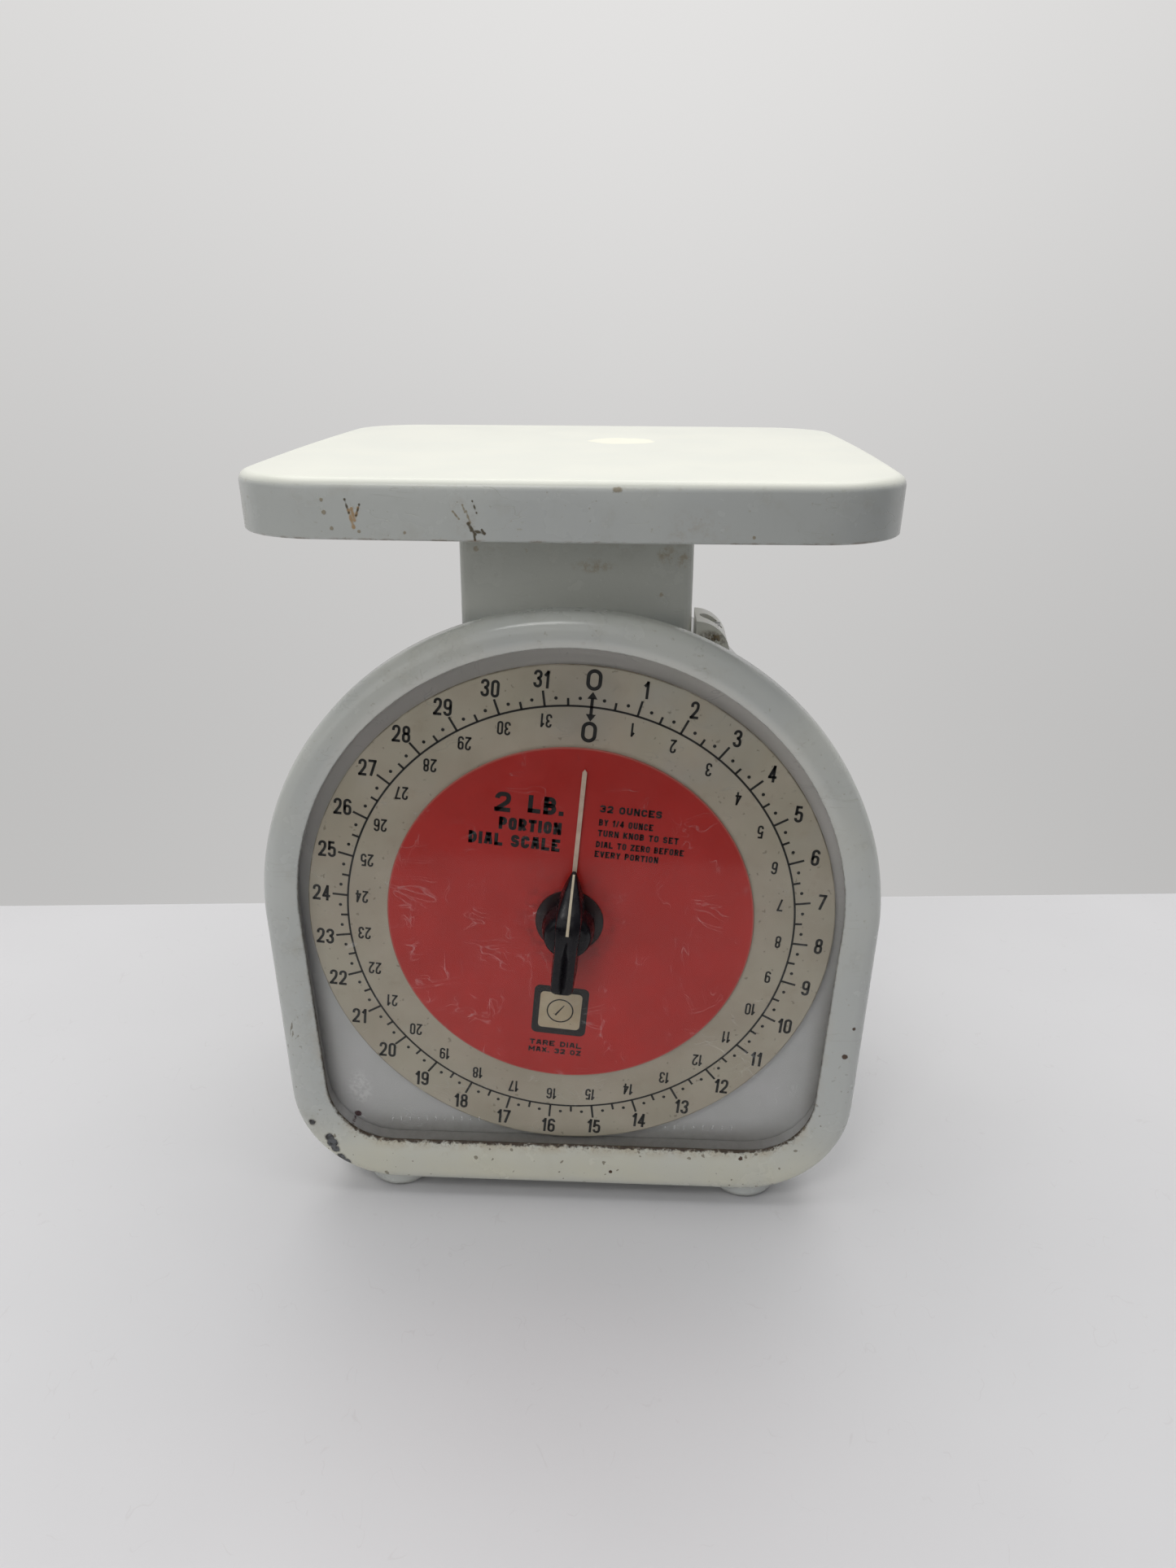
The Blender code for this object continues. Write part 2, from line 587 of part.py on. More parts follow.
def tare_knob(pivot):
    """Pointer knob: round skirt and a ridge that runs down to a sharp nose at the dial's zero.

    Each station of the ridge gives its place along the ridge, half width, low and high y.
    """
    base = turned([(0, -60.0), (6.6, -60.0), (6.3, -62.5), (5.8, -65.6), (5.2, -66.4), (0, -66.4)],
                  (0, DIAL_Z), "Y", 28)
    knob = part("tare_knob", base, BLACK, pivot)
    stations = [(-14.2, 1.6, -60.6, -68.6), (-13.4, 2.5, -60.4, -69.6), (-11.5, 2.8, -60.2, -70.0),
                (-4.0, 2.7, -60.2, -70.0), (4.0, 3.1, -60.2, -69.8), (6.5, 3.0, -60.2, -69.2),
                (10.0, 2.2, -60.2, -66.0), (13.5, 1.1, -60.2, -62.6), (15.4, 0.3, -60.2, -60.8)]
    loops = []
    for along, half, low, high in stations:
        shoulder = high + min(0.9, (low - high) / 2)
        right_side = [(half * 1.15, low), (half, shoulder), (half * 0.55, high)]
        section = [(-across, y) for across, y in right_side] + right_side[::-1]
        spots = turned_clockwise([(across, along) for across, _ in section])
        loops.append([(x, y, z) for (x, z), (_, y) in zip(spots, section)])
    combine(knob, "UNION", [loft(loops)])
    combine(knob, "DIFFERENCE", [rod(SPINDLE_HOLE, (0, DIAL_Z), "Y", -66.3, -50.0, 20)])


# ---------------------------------------------------------------- load slide

def platform():
    """Square pan with bowed sides and a deep skirt; screw bosses and a column socket underneath."""
    def outline(inset):
        return rounded_square(PLATFORM_HALF - inset, PLATFORM_CORNER - inset, 6, PLATFORM_BOW, 6)
    under = PLATFORM_TOP - PLATFORM_WALL
    loops = [at_z(outline(PLATFORM_WALL), under), at_z(outline(PLATFORM_WALL + 0.4), SKIRT_BOTTOM),
             at_z(outline(0.4), SKIRT_BOTTOM), at_z(outline(0.0), PLATFORM_TOP - PLATFORM_ROUND)]
    for a in [radians(d) for d in (30, 60, 90)]:
        inset = PLATFORM_ROUND * (1 - cos(a))
        loops.append(at_z(outline(inset), PLATFORM_TOP - PLATFORM_ROUND * (1 - sin(a))))
    obj = part("platform", loft(loops), IVORY)
    socket = prism([rounded_square(COLUMN_HALF + 2.0, 4.0), rounded_square(COLUMN_HALF + GAP, 2.3)], "Z",
                   under - 3.5, under + 0.5)
    bosses = [tube(1.5, 3.6, spot, "Z", under - BOSS_DEPTH, under + 0.5, 16)
              for spot in platform_screw_places()]
    return combine(obj, "UNION", [socket] + bosses)


def platform_screw_places():
    return [(sx * PLATFORM_SCREW_X, y) for y in PLATFORM_SCREW_Y for sx in (-1, 1)]


def column():
    loops = [rounded_square(COLUMN_HALF, 2.0), rounded_square(COLUMN_HALF - COLUMN_WALL, 0.8)]
    top = PLATFORM_TOP - PLATFORM_WALL - GAP
    return part("column", prism(loops, "Z", COLUMN_BOTTOM, top), ENAMEL)


def carriage():
    """Bent steel carrier: flange under the platform, long web, cheeks for the link pins, spring arms."""
    flange_top = PLATFORM_TOP - PLATFORM_WALL - BOSS_DEPTH - GAP
    body = prism([[(-21.0, WEB_Y[0]), (21.0, WEB_Y[0]), (21.0, 16.0), (-21.0, 16.0)]], "Z",
                 flange_top - SHEET, flange_top)
    obj = part("carriage", body, STEEL)
    web = block((-CHEEK_OUT, WEB_Y[0], CARRIAGE_LOW), (CHEEK_OUT, WEB_Y[1], flange_top - 0.4))
    cheek = (CHEEK_IN + CHEEK_OUT) / 2
    cheeks = [block((sx * cheek - SHEET / 2, WEB_Y[0] + 0.3, CARRIAGE_LOW),
                    (sx * cheek + SHEET / 2, -7.0, CARRIAGE_CHEEK_TOP)) for sx in (-1, 1)]
    arm_z = SPRING_Z[0] - GAP
    arm_x = CHEEK_IN + 0.2, SPRING_X + 4.0
    arms = [block((min(sx * x for x in arm_x), -10.0, arm_z - 2.0), (max(sx * x for x in arm_x), 10.0, arm_z))
            for sx in (-1, 1)]
    plugs = [rod(2.2, (sx * SPRING_X, SPRING_Y), "Z", arm_z - 0.6, arm_z + 8.0, 12) for sx in (-1, 1)]
    zero_arm = block((15.0, -25.0, ZERO_ARM_Z[0]), (38.0, WEB_Y[1] - 0.4, ZERO_ARM_Z[1]))
    rack_post = block((2.4, RACK_Y[1] + GAP, RACK_TOP - 6.0), (RACK_BACK_X, WEB_Y[0] + 0.4, RACK_TOP))
    combine(obj, "UNION", [web] + cheeks + arms + plugs + [zero_arm, rack_post])
    holes = [rod(PIN_RADIUS + GAP, (CARRIAGE_PIN_Y, z), "X", -30.0, 30.0, 12) for z in CARRIAGE_PIN_Z]
    holes += [rod(1.5, spot, "Z", flange_top - 4.0, flange_top + 4.0, 10) for spot in platform_screw_places()]
    holes.append(rod(1.3, RACK_SCREW, "Y", RACK_Y[1] - 1.0, WEB_Y[0] - 0.6, 10))
    combine(obj, "DIFFERENCE", holes)
    names = ("front_left", "front_right", "rear_left", "rear_right")
    under = flange_top - SHEET
    for name, spot in zip(names, platform_screw_places()):
        screw(f"platform_screw_{name}", spot, "Z", under - 1.9, under - GAP, under + 4.4, 2.6, 1.2)


def link_pin(name, y, z):
    """Headed pin across the cheeks."""
    head = CHEEK_OUT + GAP
    profile = [(0, -head - 1.4), (2.6, -head - 1.4), (2.6, -head), (PIN_RADIUS, -head), (PIN_RADIUS, head),
               (2.6, head), (2.6, head + 1.4), (0, head + 1.4)]
    part(name, turned(profile, (y, z), "X", 14), STEEL)


def link(name, frame_z):
    """Flat link with an eye at each end; the front eye is long, for the arc that the link swings in."""
    eye = 3.4
    half_web = 1.0
    c, s = cos(LINK_ANGLE), sin(LINK_ANGLE)

    def local(along, off):
        return (FRAME_PIN_Y - along * c + off * s, frame_z + along * s + off * c)
    neck = asin(half_web / eye)
    sweep = [neck + (2 * pi - 2 * neck) * i / 8 for i in range(9)]
    rear_eye = [local(eye * cos(a), eye * sin(a)) for a in sweep]
    front_eye = [local(LINK_LENGTH - eye * cos(a), -eye * sin(a)) for a in sweep]
    outline = rear_eye + front_eye
    rear_hole = circle(FRAME_PIN_Y, frame_z, PIN_RADIUS + 0.35, 14)
    front_hole = slot_outline(*local(LINK_LENGTH, 0.0), 2.45, 1.85, -LINK_ANGLE)
    pivot = (0, FRAME_PIN_Y, frame_z)
    strip = prism([outline, rear_hole, front_hole], "X", -LINK_HALF_WIDTH, LINK_HALF_WIDTH)
    part(name, strip, STEEL, pivot)


# ---------------------------------------------------------------- frame and springs

def main_frame():
    """U-shaped upright at the back: cheeks for the link pins, arms for the spring bar, screwed foot."""
    back = FRAME_BACK
    channel = [(-CHEEK_OUT, 0.0), (-CHEEK_IN, 0.0), (-CHEEK_IN, back - SHEET), (CHEEK_IN, back - SHEET),
               (CHEEK_IN, 0.0), (CHEEK_OUT, 0.0), (CHEEK_OUT, back), (-CHEEK_OUT, back)]
    foot_z = BASE_Z[1] + GAP
    obj = part("main_frame", prism([channel], "Z", foot_z + 0.4, FRAME_TOP), STEEL)
    foot = block((-31.0, 27.0, foot_z), (31.0, back - 0.4, foot_z + SHEET))
    combine(obj, "DIFFERENCE", [block((-25.0, -1.0, 0.0), (25.0, 27.0, 106.0)),
                                block((-25.0, -1.0, CROSSBAR_Z[0] - GAP), (25.0, 27.0, 130.0))])
    combine(obj, "UNION", [foot])
    holes = [rod(PIN_RADIUS + GAP, (FRAME_PIN_Y, z), "X", -30.0, 30.0, 12) for z in FRAME_PIN_Z]
    screw_x, screw_y = FRAME_SCREW
    holes += [rod(1.6, (sx * screw_x, screw_y), "Z", 0.0, 20.0, 12) for sx in (-1, 1)]
    combine(obj, "DIFFERENCE", holes)
    for name, sx in (("left", -1), ("right", 1)):
        screw(f"frame_screw_{name}", (sx * screw_x, screw_y), "Z", foot_z + SHEET + 2.0, foot_z + SHEET + GAP,
              BASE_Z[0] + 0.2, 2.6, 1.3)


def spring_crossbar():
    """Fixed bar on the frame's arms, with a plug for the top of each main spring."""
    obj = part("spring_crossbar", block((-36.0, 2.0, CROSSBAR_Z[0]), (36.0, 10.0, CROSSBAR_Z[1])), STEEL)
    plugs = [rod(2.2, (sx * SPRING_X, SPRING_Y), "Z", CROSSBAR_Z[0] - 8.0, CROSSBAR_Z[0] + 0.6, 12)
             for sx in (-1, 1)]
    return combine(obj, "UNION", plugs)


def springs():
    for name, sx in (("left", -1), ("right", 1)):
        wound = coil(sx * SPRING_X, SPRING_Y, *SPRING_Z, SPRING_COIL, SPRING_WIRE, 12)
        part(f"main_spring_{name}", wound, SPRING_STEEL, (sx * SPRING_X, SPRING_Y, SPRING_Z[1]))
    low = ZERO_ARM_Z[1] + GAP
    high = ZERO_NUT_Z[0] - GAP - 1.0
    wound = coil(ZERO_X, ZERO_Y, low, high, ZERO_COIL, ZERO_WIRE, 11)
    part("zero_spring", wound, SPRING_STEEL, (ZERO_X, ZERO_Y, high))


# ---------------------------------------------------------------- zero adjuster

def zero_adjuster():
    """Slotted screw down through the roof boss, its nut, and the guide that stops the nut turning."""
    axis = (ZERO_X, ZERO_Y)
    low, high = ZERO_NUT_Z
    half = ZERO_NUT_HALF
    screw("zero_screw", axis, "Z", ZERO_HEAD_Z[1], ZERO_HEAD_Z[0], low + 4.0, ZERO_HEAD, 1.5)
    nut = part("zero_nut", block((ZERO_X - half, ZERO_Y - half, low), (ZERO_X + half, ZERO_Y + half, high)),
               BRASS, (ZERO_X, ZERO_Y, low))
    combine(nut, "DIFFERENCE", [rod(1.8, axis, "Z", low + 2.0, high + 2.0, 12)])
    near = ZERO_X + half + GAP
    far = near + 1.4
    ledge = (136.0, 137.4)
    guide = [(near, low - 6.0), (far, low - 6.0), (far, ledge[1]), (ZERO_X - 4.4, ledge[1]),
             (ZERO_X - 4.4, ledge[0]), (near, ledge[0])]
    obj = part("zero_guide", prism([guide], "Y", ZERO_Y - 5.0, ZERO_Y + 5.0), STEEL)
    combine(obj, "DIFFERENCE", [rod(SCREW_HOLE, axis, "Z", 132.0, 142.0, 12)])


front_bezel()
housing_shell()
base_plate()
feet()
lens()
lens_spacer()
face_plate()
gear_bridge()
pointer_arbor()
rack()
tare_dial()
platform()
column()
carriage()
link_pin("lower_frame_pin", FRAME_PIN_Y, FRAME_PIN_Z[0])
link_pin("upper_frame_pin", FRAME_PIN_Y, FRAME_PIN_Z[1])
link_pin("lower_carriage_pin", CARRIAGE_PIN_Y, CARRIAGE_PIN_Z[0])
link_pin("upper_carriage_pin", CARRIAGE_PIN_Y, CARRIAGE_PIN_Z[1])
link("lower_link", FRAME_PIN_Z[0])
link("upper_link", FRAME_PIN_Z[1])
main_frame()
spring_crossbar()
springs()
zero_adjuster()
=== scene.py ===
"""Looks of the dial portion scale: finer visible pieces, procedural materials, camera, floor, light.

Shapes are drawn in millimetres in the part's own frame: X to the right of the dial, Y to the
back, Z up from the floor. Meshes become metres when a piece is made.
"""

from math import acos, atan2, cos, pi, radians, sin

import bmesh
import bpy
from mathutils import Matrix, Vector

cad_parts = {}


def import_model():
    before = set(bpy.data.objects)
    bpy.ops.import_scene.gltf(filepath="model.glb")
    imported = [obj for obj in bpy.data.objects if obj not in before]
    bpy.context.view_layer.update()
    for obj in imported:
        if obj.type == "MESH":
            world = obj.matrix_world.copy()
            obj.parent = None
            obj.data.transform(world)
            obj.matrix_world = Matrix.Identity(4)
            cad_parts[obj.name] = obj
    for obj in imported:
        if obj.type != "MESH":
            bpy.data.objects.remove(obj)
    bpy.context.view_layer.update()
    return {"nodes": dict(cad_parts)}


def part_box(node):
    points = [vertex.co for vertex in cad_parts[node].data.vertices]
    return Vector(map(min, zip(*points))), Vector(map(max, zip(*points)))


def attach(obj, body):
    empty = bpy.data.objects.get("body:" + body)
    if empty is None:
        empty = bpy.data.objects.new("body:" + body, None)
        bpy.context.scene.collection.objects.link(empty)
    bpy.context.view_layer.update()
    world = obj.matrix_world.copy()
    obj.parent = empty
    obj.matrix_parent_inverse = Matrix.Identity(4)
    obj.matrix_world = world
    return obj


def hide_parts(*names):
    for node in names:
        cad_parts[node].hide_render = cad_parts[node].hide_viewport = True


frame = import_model()

MM = 0.001
SHARP = radians(32)


def span(node, axis):
    """Low and high coordinate of a CAD node along an axis, in millimetres."""
    low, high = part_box(node)
    return low["XYZ".index(axis)] / MM, high["XYZ".index(axis)] / MM


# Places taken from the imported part
DIAL_Z = sum(span("number_dial", "Z")) / 2
DIAL_RADIUS = (span("number_dial", "X")[1] - span("number_dial", "X")[0]) / 2
RED_RADIUS = (span("red_disc", "X")[1] - span("red_disc", "X")[0]) / 2
DIAL_Y = span("number_dial", "Y")
RED_Y = span("red_disc", "Y")
HUB_Y = span("tare_hub", "Y")
BEZEL_Y = span("front_bezel", "Y")
LENS_FRONT = span("lens", "Y")[0]
SHELL_Y = span("housing_shell", "Y")
PLATFORM_TOP = span("platform", "Z")[1]
SKIRT_BOTTOM = span("platform", "Z")[0]
KNOB_FRONT, KNOB_BACK = span("tare_knob", "Y")

DIAL_TURN = radians(5.35)      # the zeroed dial stands this far clockwise of upright
HUB_HOLE = 2.5
GAP = 0.3
LENS_BACK = span("lens_spacer", "Y")[0] - GAP
LENS_Y = (LENS_BACK - 1.2, LENS_BACK)
FOOT_X = 47.8
FOOT_Y = {"front": -48.5, "rear": 33.0}

# Casing outlines, as in the part
WINDOW = dict(radius=67.5, centre=87.2, half_low=63.4, bottom=18.0, corner=17.0)
RIM = dict(radius=76.7, centre=86.0, half_low=73.2, bottom=4.6, corner=28.0)
SHELL = dict(radius=71.0, centre=86.0, half_low=67.4, bottom=6.4, corner=17.0)
RABBET = 2.05
RIM_ROUND = 4.0
LIP_BACK = LENS_Y[0] - GAP


# ---------------------------------------------------------------- mesh tools

def skin(bm, rings, closed=False):
    """Quads between neighbouring rings; a ring with one vertex is a pole."""
    pairs = list(zip(rings, rings[1:]))
    if closed:
        pairs.append((rings[-1], rings[0]))
    for first, second in pairs:
        count = max(len(first), len(second))
        for i in range(count):
            j = (i + 1) % count
            corners = [first[i % len(first)], first[j % len(first)],
                       second[j % len(second)], second[i % len(second)]]
            bm.faces.new(list(dict.fromkeys(corners)))


def place(u, v, depth, axis):
    """Point whose outline coordinates are u, v and whose extrusion coordinate is depth."""
    return {"X": (depth, u, v), "Y": (u, depth, v), "Z": (u, v, depth)}[axis]


def loft(loops, closed=False):
    """Skin through 3-D loops of equal length, capped at both ends unless closed."""
    bm = bmesh.new()
    rings = [[bm.verts.new(p) for p in loop] for loop in loops]
    skin(bm, rings, closed)
    if not closed:
        bm.faces.new(rings[0])
        bm.faces.new(rings[-1])
    return bm


def prism(outline, axis, low, high):
    return loft([[place(u, v, depth, axis) for u, v in outline] for depth in (low, high)])


def turned(profile, centre, axis, count=96):
    """Body of revolution; profile is a list of (radius, position along the axis)."""
    bm = bmesh.new()
    rings = []
    for radius, along in profile:
        angles = [2 * pi * i / count for i in range(count)] if radius > 0 else [0.0]
        ring = [place(centre[0] + radius * cos(a), centre[1] + radius * sin(a), along, axis)
                for a in angles]
        rings.append([bm.verts.new(p) for p in ring])
    skin(bm, rings, closed=profile[0][0] > 0)
    return bm


def disc_plate(outer, low, high, edge=0.12):
    """Flat disc about the dial axis with a hub hole and slightly broken front edge."""
    profile = [(HUB_HOLE, high), (HUB_HOLE, low), (outer - edge, low), (outer, low + edge), (outer, high)]
    return turned(profile, (0, DIAL_Z), "Y", 240)


def rod(radius, centre, axis, low, high, count=48):
    return turned([(0, low), (radius, low), (radius, high), (0, high)], centre, axis, count)


def between(a, b, t):
    return tuple(p + (q - p) * t for p, q in zip(a, b))


def quarter(radius, count):
    """Steps along a quarter round: how far each has come in from the side and down from the top."""
    turns = [pi / 2 * k / count for k in range(count + 1)]
    return [(radius * (1 - cos(a)), radius * (1 - sin(a))) for a in turns]


def fillet(before, corner, after, radius, count):
    """Arc of the given radius that rounds the corner between two straight runs."""
    back = (Vector(before) - Vector(corner)).normalized()
    ahead = (Vector(after) - Vector(corner)).normalized()
    half = acos(back.dot(ahead)) / 2
    centre = Vector(corner) + (back + ahead).normalized() * radius / sin(half)
    start = Vector(corner) + back * radius / (sin(half) / cos(half)) - centre
    end = Vector(corner) + ahead * radius / (sin(half) / cos(half)) - centre
    first = atan2(start.y, start.x)
    turn = (atan2(end.y, end.x) - first + pi) % (2 * pi) - pi
    angles = [first + turn * i / count for i in range(count + 1)]
    return [(centre.x + radius * cos(a), centre.y + radius * sin(a)) for a in angles]


def arch(radius, centre, half_low, bottom, corner, inset=0.0):
    """Round-topped body outline in x, z: an arc, two leaning sides and rounded lower corners."""
    r = radius - inset
    low = bottom + inset
    half = half_low - inset
    angles = [pi * i / 128 for i in range(129)]
    top = [(r * cos(a), centre + r * sin(a)) for a in angles]
    arc = fillet((-r, centre), (-half, low), (half, low), corner - inset, 18)
    mirrored = [(-x, z) for x, z in reversed(arc)]
    left = [between((-r, centre), arc[0], k / 16) for k in range(1, 16)]
    floor = [between(arc[-1], mirrored[0], k / 32) for k in range(1, 32)]
    right = [between(mirrored[-1], (r, centre), k / 16) for k in range(1, 16)]
    return top + left + arc + floor + mirrored + right


def rounded_square(half, radius, corner_steps=16, bow=0.0, side_steps=24):
    """Square outline with round corners and sides that bow out by the given amount."""
    flat = half - radius
    corners = []
    for quarter, (sx, sy) in enumerate([(1, 1), (-1, 1), (-1, -1), (1, -1)]):
        angles = [pi / 2 * (quarter + i / corner_steps) for i in range(corner_steps + 1)]
        corners.append([(sx * flat + radius * cos(a), sy * flat + radius * sin(a)) for a in angles])
    points = []
    for arc, following in zip(corners, corners[1:] + corners[:1]):
        points += arc + [between(arc[-1], following[0], k / side_steps) for k in range(1, side_steps)]

    def bowed(along, across):
        return along * (1 + bow / half * (1 - (across / half) ** 2))
    return [(bowed(x, y), bowed(y, x)) for x, y in points]


def dial_turned(points):
    """Outline drawn about the dial axis with zero straight up, turned to the dial's zero."""
    c, s = cos(DIAL_TURN), sin(DIAL_TURN)
    return [(x * c + z * s, DIAL_Z - x * s + z * c) for x, z in points]


def circle(u, v, radius, count=48):
    return [(u + radius * cos(2 * pi * i / count), v + radius * sin(2 * pi * i / count))
            for i in range(count)]


def placed(name, data):
    obj = bpy.data.objects.new(name, data)
    bpy.context.scene.collection.objects.link(obj)
    return obj


def meshed(name, bm):
    mesh = bpy.data.meshes.new(name)
    bm.to_mesh(mesh)
    bm.free()
    return mesh


def join(parts):
    """One bmesh from several."""
    whole = bmesh.new()
    for bm in parts:
        mesh = meshed("joined", bm)
        whole.from_mesh(mesh)
        bpy.data.meshes.remove(mesh)
    return whole


def helper(bm):
    bmesh.ops.recalc_face_normals(bm, faces=bm.faces)
    return placed("helper", meshed("helper", bm))


def carved(body, operations):
    """Body after a list of exact Booleans, each (operation, shape)."""
    base = helper(body)
    tools = [helper(shape) for _, shape in operations]
    for (operation, _), tool in zip(operations, tools):
        modifier = base.modifiers.new(operation, "BOOLEAN")
        modifier.operation = operation
        modifier.solver = "EXACT"
        modifier.object = tool
    done = bpy.data.meshes.new_from_object(base.evaluated_get(bpy.context.evaluated_depsgraph_get()))
    result = bmesh.new()
    result.from_mesh(done)
    bpy.data.meshes.remove(done)
    for obj in [base] + tools:
        mesh = obj.data
        bpy.data.objects.remove(obj)
        bpy.data.meshes.remove(mesh)
    return result


def piece(name, bm, look, body, stands_for=(), sharp=SHARP):
    """Visible object from a bmesh in millimetres, riding on a CAD body."""
    bmesh.ops.recalc_face_normals(bm, faces=bm.faces)
    bmesh.ops.scale(bm, verts=bm.verts, vec=(MM, MM, MM))
    mesh = meshed(name, bm)
    mesh.materials.append(look)
    mesh.shade_smooth()
    mesh.set_sharp_from_angle(angle=sharp)
    obj = placed(name, mesh)
    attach(obj, body)
    if stands_for:
        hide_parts(*stands_for)
    return obj


# ---------------------------------------------------------------- material tools

class Nodes:
    """Short ways to add nodes to a tree; every value may be a number or another node's output."""

    def __init__(self, tree):
        self.tree = tree

    def add(self, kind, values, **settings):
        node = self.tree.nodes.new(kind)
        for key, value in settings.items():
            setattr(node, key, value)
        for key, value in values.items():
            socket = node.inputs[key]
            if isinstance(value, bpy.types.NodeSocket):
                self.tree.links.new(value, socket)
            else:
                socket.default_value = value
        return node

    def step(self, value, low, high, to=(0.0, 1.0)):
        values = {"Value": value, "From Min": low, "From Max": high, "To Min": to[0], "To Max": to[1]}
        return self.add("ShaderNodeMapRange", values, clamp=True, interpolation_type="SMOOTHSTEP").outputs[0]

    def calc(self, operation, a, b=0.0):
        return self.add("ShaderNodeMath", {0: a, 1: b}, operation=operation, use_clamp=False).outputs[0]

    def plus(self, a, b):
        return self.calc("ADD", a, b)

    def minus(self, a, b):
        return self.calc("SUBTRACT", a, b)

    def inverse(self, value):
        return self.minus(1.0, value)

    def times(self, *factors):
        result = factors[0]
        for factor in factors[1:]:
            result = self.calc("MULTIPLY", result, factor)
        return result

    def either(self, *factors):
        result = factors[0]
        for factor in factors[1:]:
            result = self.calc("MAXIMUM", result, factor)
        return result

    def mix(self, factor, a, b):
        def colour(value):
            return value if isinstance(value, bpy.types.NodeSocket) else (*value, 1.0)
        node = self.add("ShaderNodeMix", {0: factor, 6: colour(a), 7: colour(b)}, data_type="RGBA")
        return node.outputs[2]


class Look(Nodes):
    """Node material on the piece's own coordinates, in millimetres."""

    def __init__(self, name, metallic=0.0, ior=1.5):
        self.mat = bpy.data.materials.new(name)
        self.mat.use_nodes = True
        super().__init__(self.mat.node_tree)
        self.shader = self.tree.nodes["Principled BSDF"]
        self.shader.inputs["Metallic"].default_value = metallic
        self.shader.inputs["IOR"].default_value = ior
        coordinates = self.add("ShaderNodeTexCoord", {})
        self.spot = self.vector("SCALE", coordinates.outputs["Object"], "Scale", 1 / MM)
        self.axes = self.add("ShaderNodeSeparateXYZ", {0: self.spot}).outputs

    def vector(self, operation, a, key, b):
        return self.add("ShaderNodeVectorMath", {0: a, key: b}, operation=operation).outputs[0]

    def noise(self, size, detail=3.0, rough=0.55, stretch=(1, 1, 1), shift=0.0, warp=0.0):
        """Noise whose blotches are about size millimetres, from 0 to 1."""
        scaled = self.vector("MULTIPLY", self.spot, 1, stretch)
        moved = self.vector("ADD", scaled, 1, (shift, shift * 0.7, shift * 1.3))
        values = {"Vector": moved, "Scale": 1 / size, "Detail": detail, "Roughness": rough,
                  "Distortion": warp}
        return self.add("ShaderNodeTexNoise", values).outputs["Fac"]

    def blotches(self, size, detail, rough, low, high, to=(0.0, 1.0), shift=0.0):
        """Noise blotches with their edges sharpened between two noise levels."""
        return self.step(self.noise(size, detail, rough, shift=shift), low, high, to)

    def wobble(self, size, detail, amount):
        return self.calc("MULTIPLY", self.minus(self.noise(size, detail, 0.7), 0.5), amount)

    def near(self, point, radius, soft=0.5, stretch=(1, 1, 1), ragged=0.0, size=1.0):
        """1 inside a spot around a point, falling to 0 at radius; ragged breaks its edge up."""
        scaled = self.vector("MULTIPLY", self.vector("SUBTRACT", self.spot, 1, point), 1, stretch)
        far = self.add("ShaderNodeVectorMath", {0: scaled}, operation="LENGTH").outputs["Value"]
        if ragged:
            far = self.plus(far, self.wobble(size, 4, ragged))
        return self.step(far, radius * (1 - soft), radius, (1.0, 0.0))

    def spots(self, places, soft, stretch, ragged, size, grow=0.0):
        """One spot for each (point, radius)."""
        return [self.near(point, radius + grow, soft, stretch, ragged, size) for point, radius in places]

    def stroke(self, start, end, width, ragged=0.25):
        """1 along a thin line on the front between two points given as x, z."""
        along = Vector((end[0] - start[0], 0.0, end[1] - start[1]))
        offset = self.vector("SUBTRACT", self.spot, 1, (start[0], 0.0, start[1]))
        flat = self.vector("MULTIPLY", offset, 1, (1, 0, 1))
        share = self.add("ShaderNodeVectorMath", {0: flat, 1: along / along.length_squared},
                         operation="DOT_PRODUCT").outputs["Value"]
        reached = self.vector("SCALE", along, "Scale", self.step(share, 0.0, 1.0))
        far = self.add("ShaderNodeVectorMath", {0: flat, 1: reached}, operation="DISTANCE").outputs["Value"]
        far = self.plus(far, self.wobble(0.6, 3, ragged))
        return self.step(far, width * 0.3, width * 0.7, (1.0, 0.0))

    def strokes(self, lines):
        return self.either(*[self.stroke(*line) for line in lines])

    def specks(self, size, amount, shift=0.0):
        """Sparse small dots: amount is the noise level above which a speck shows."""
        return self.step(self.noise(size, 1.0, 0.4, shift=shift), amount, amount + 0.03)

    def scratches(self, size, shift, stretch):
        """Thin faint lines, long in one direction."""
        wave = self.noise(size, 2.0, 0.5, stretch=stretch, shift=shift, warp=0.4)
        line = self.calc("ABSOLUTE", self.minus(wave, 0.5))
        broken = self.step(self.noise(size * 0.8, 2.0, 0.5, shift=shift + 5), 0.56, 0.62)
        return self.times(self.step(line, 0.0, 0.008, (1.0, 0.0)), broken)

    def paint(self, shade, *masks):
        """Lay a shade over the colour so far, as strongly as the masks allow."""
        self.colour = self.mix(self.times(*masks), self.colour, shade)

    def finish(self, roughness, height=None, depth=0.05, alpha=None):
        """Wire colour, roughness and a bump of the given depth in millimetres."""
        for key, value in (("Base Color", self.colour), ("Roughness", roughness), ("Alpha", alpha)):
            if value is not None:
                self.tree.links.new(value, self.shader.inputs[key])
        if height is not None:
            bump = self.add("ShaderNodeBump", {"Height": height, "Strength": 1.0, "Distance": depth * MM})
            self.tree.links.new(bump.outputs["Normal"], self.shader.inputs["Normal"])
        return self.mat


# ---------------------------------------------------------------- materials

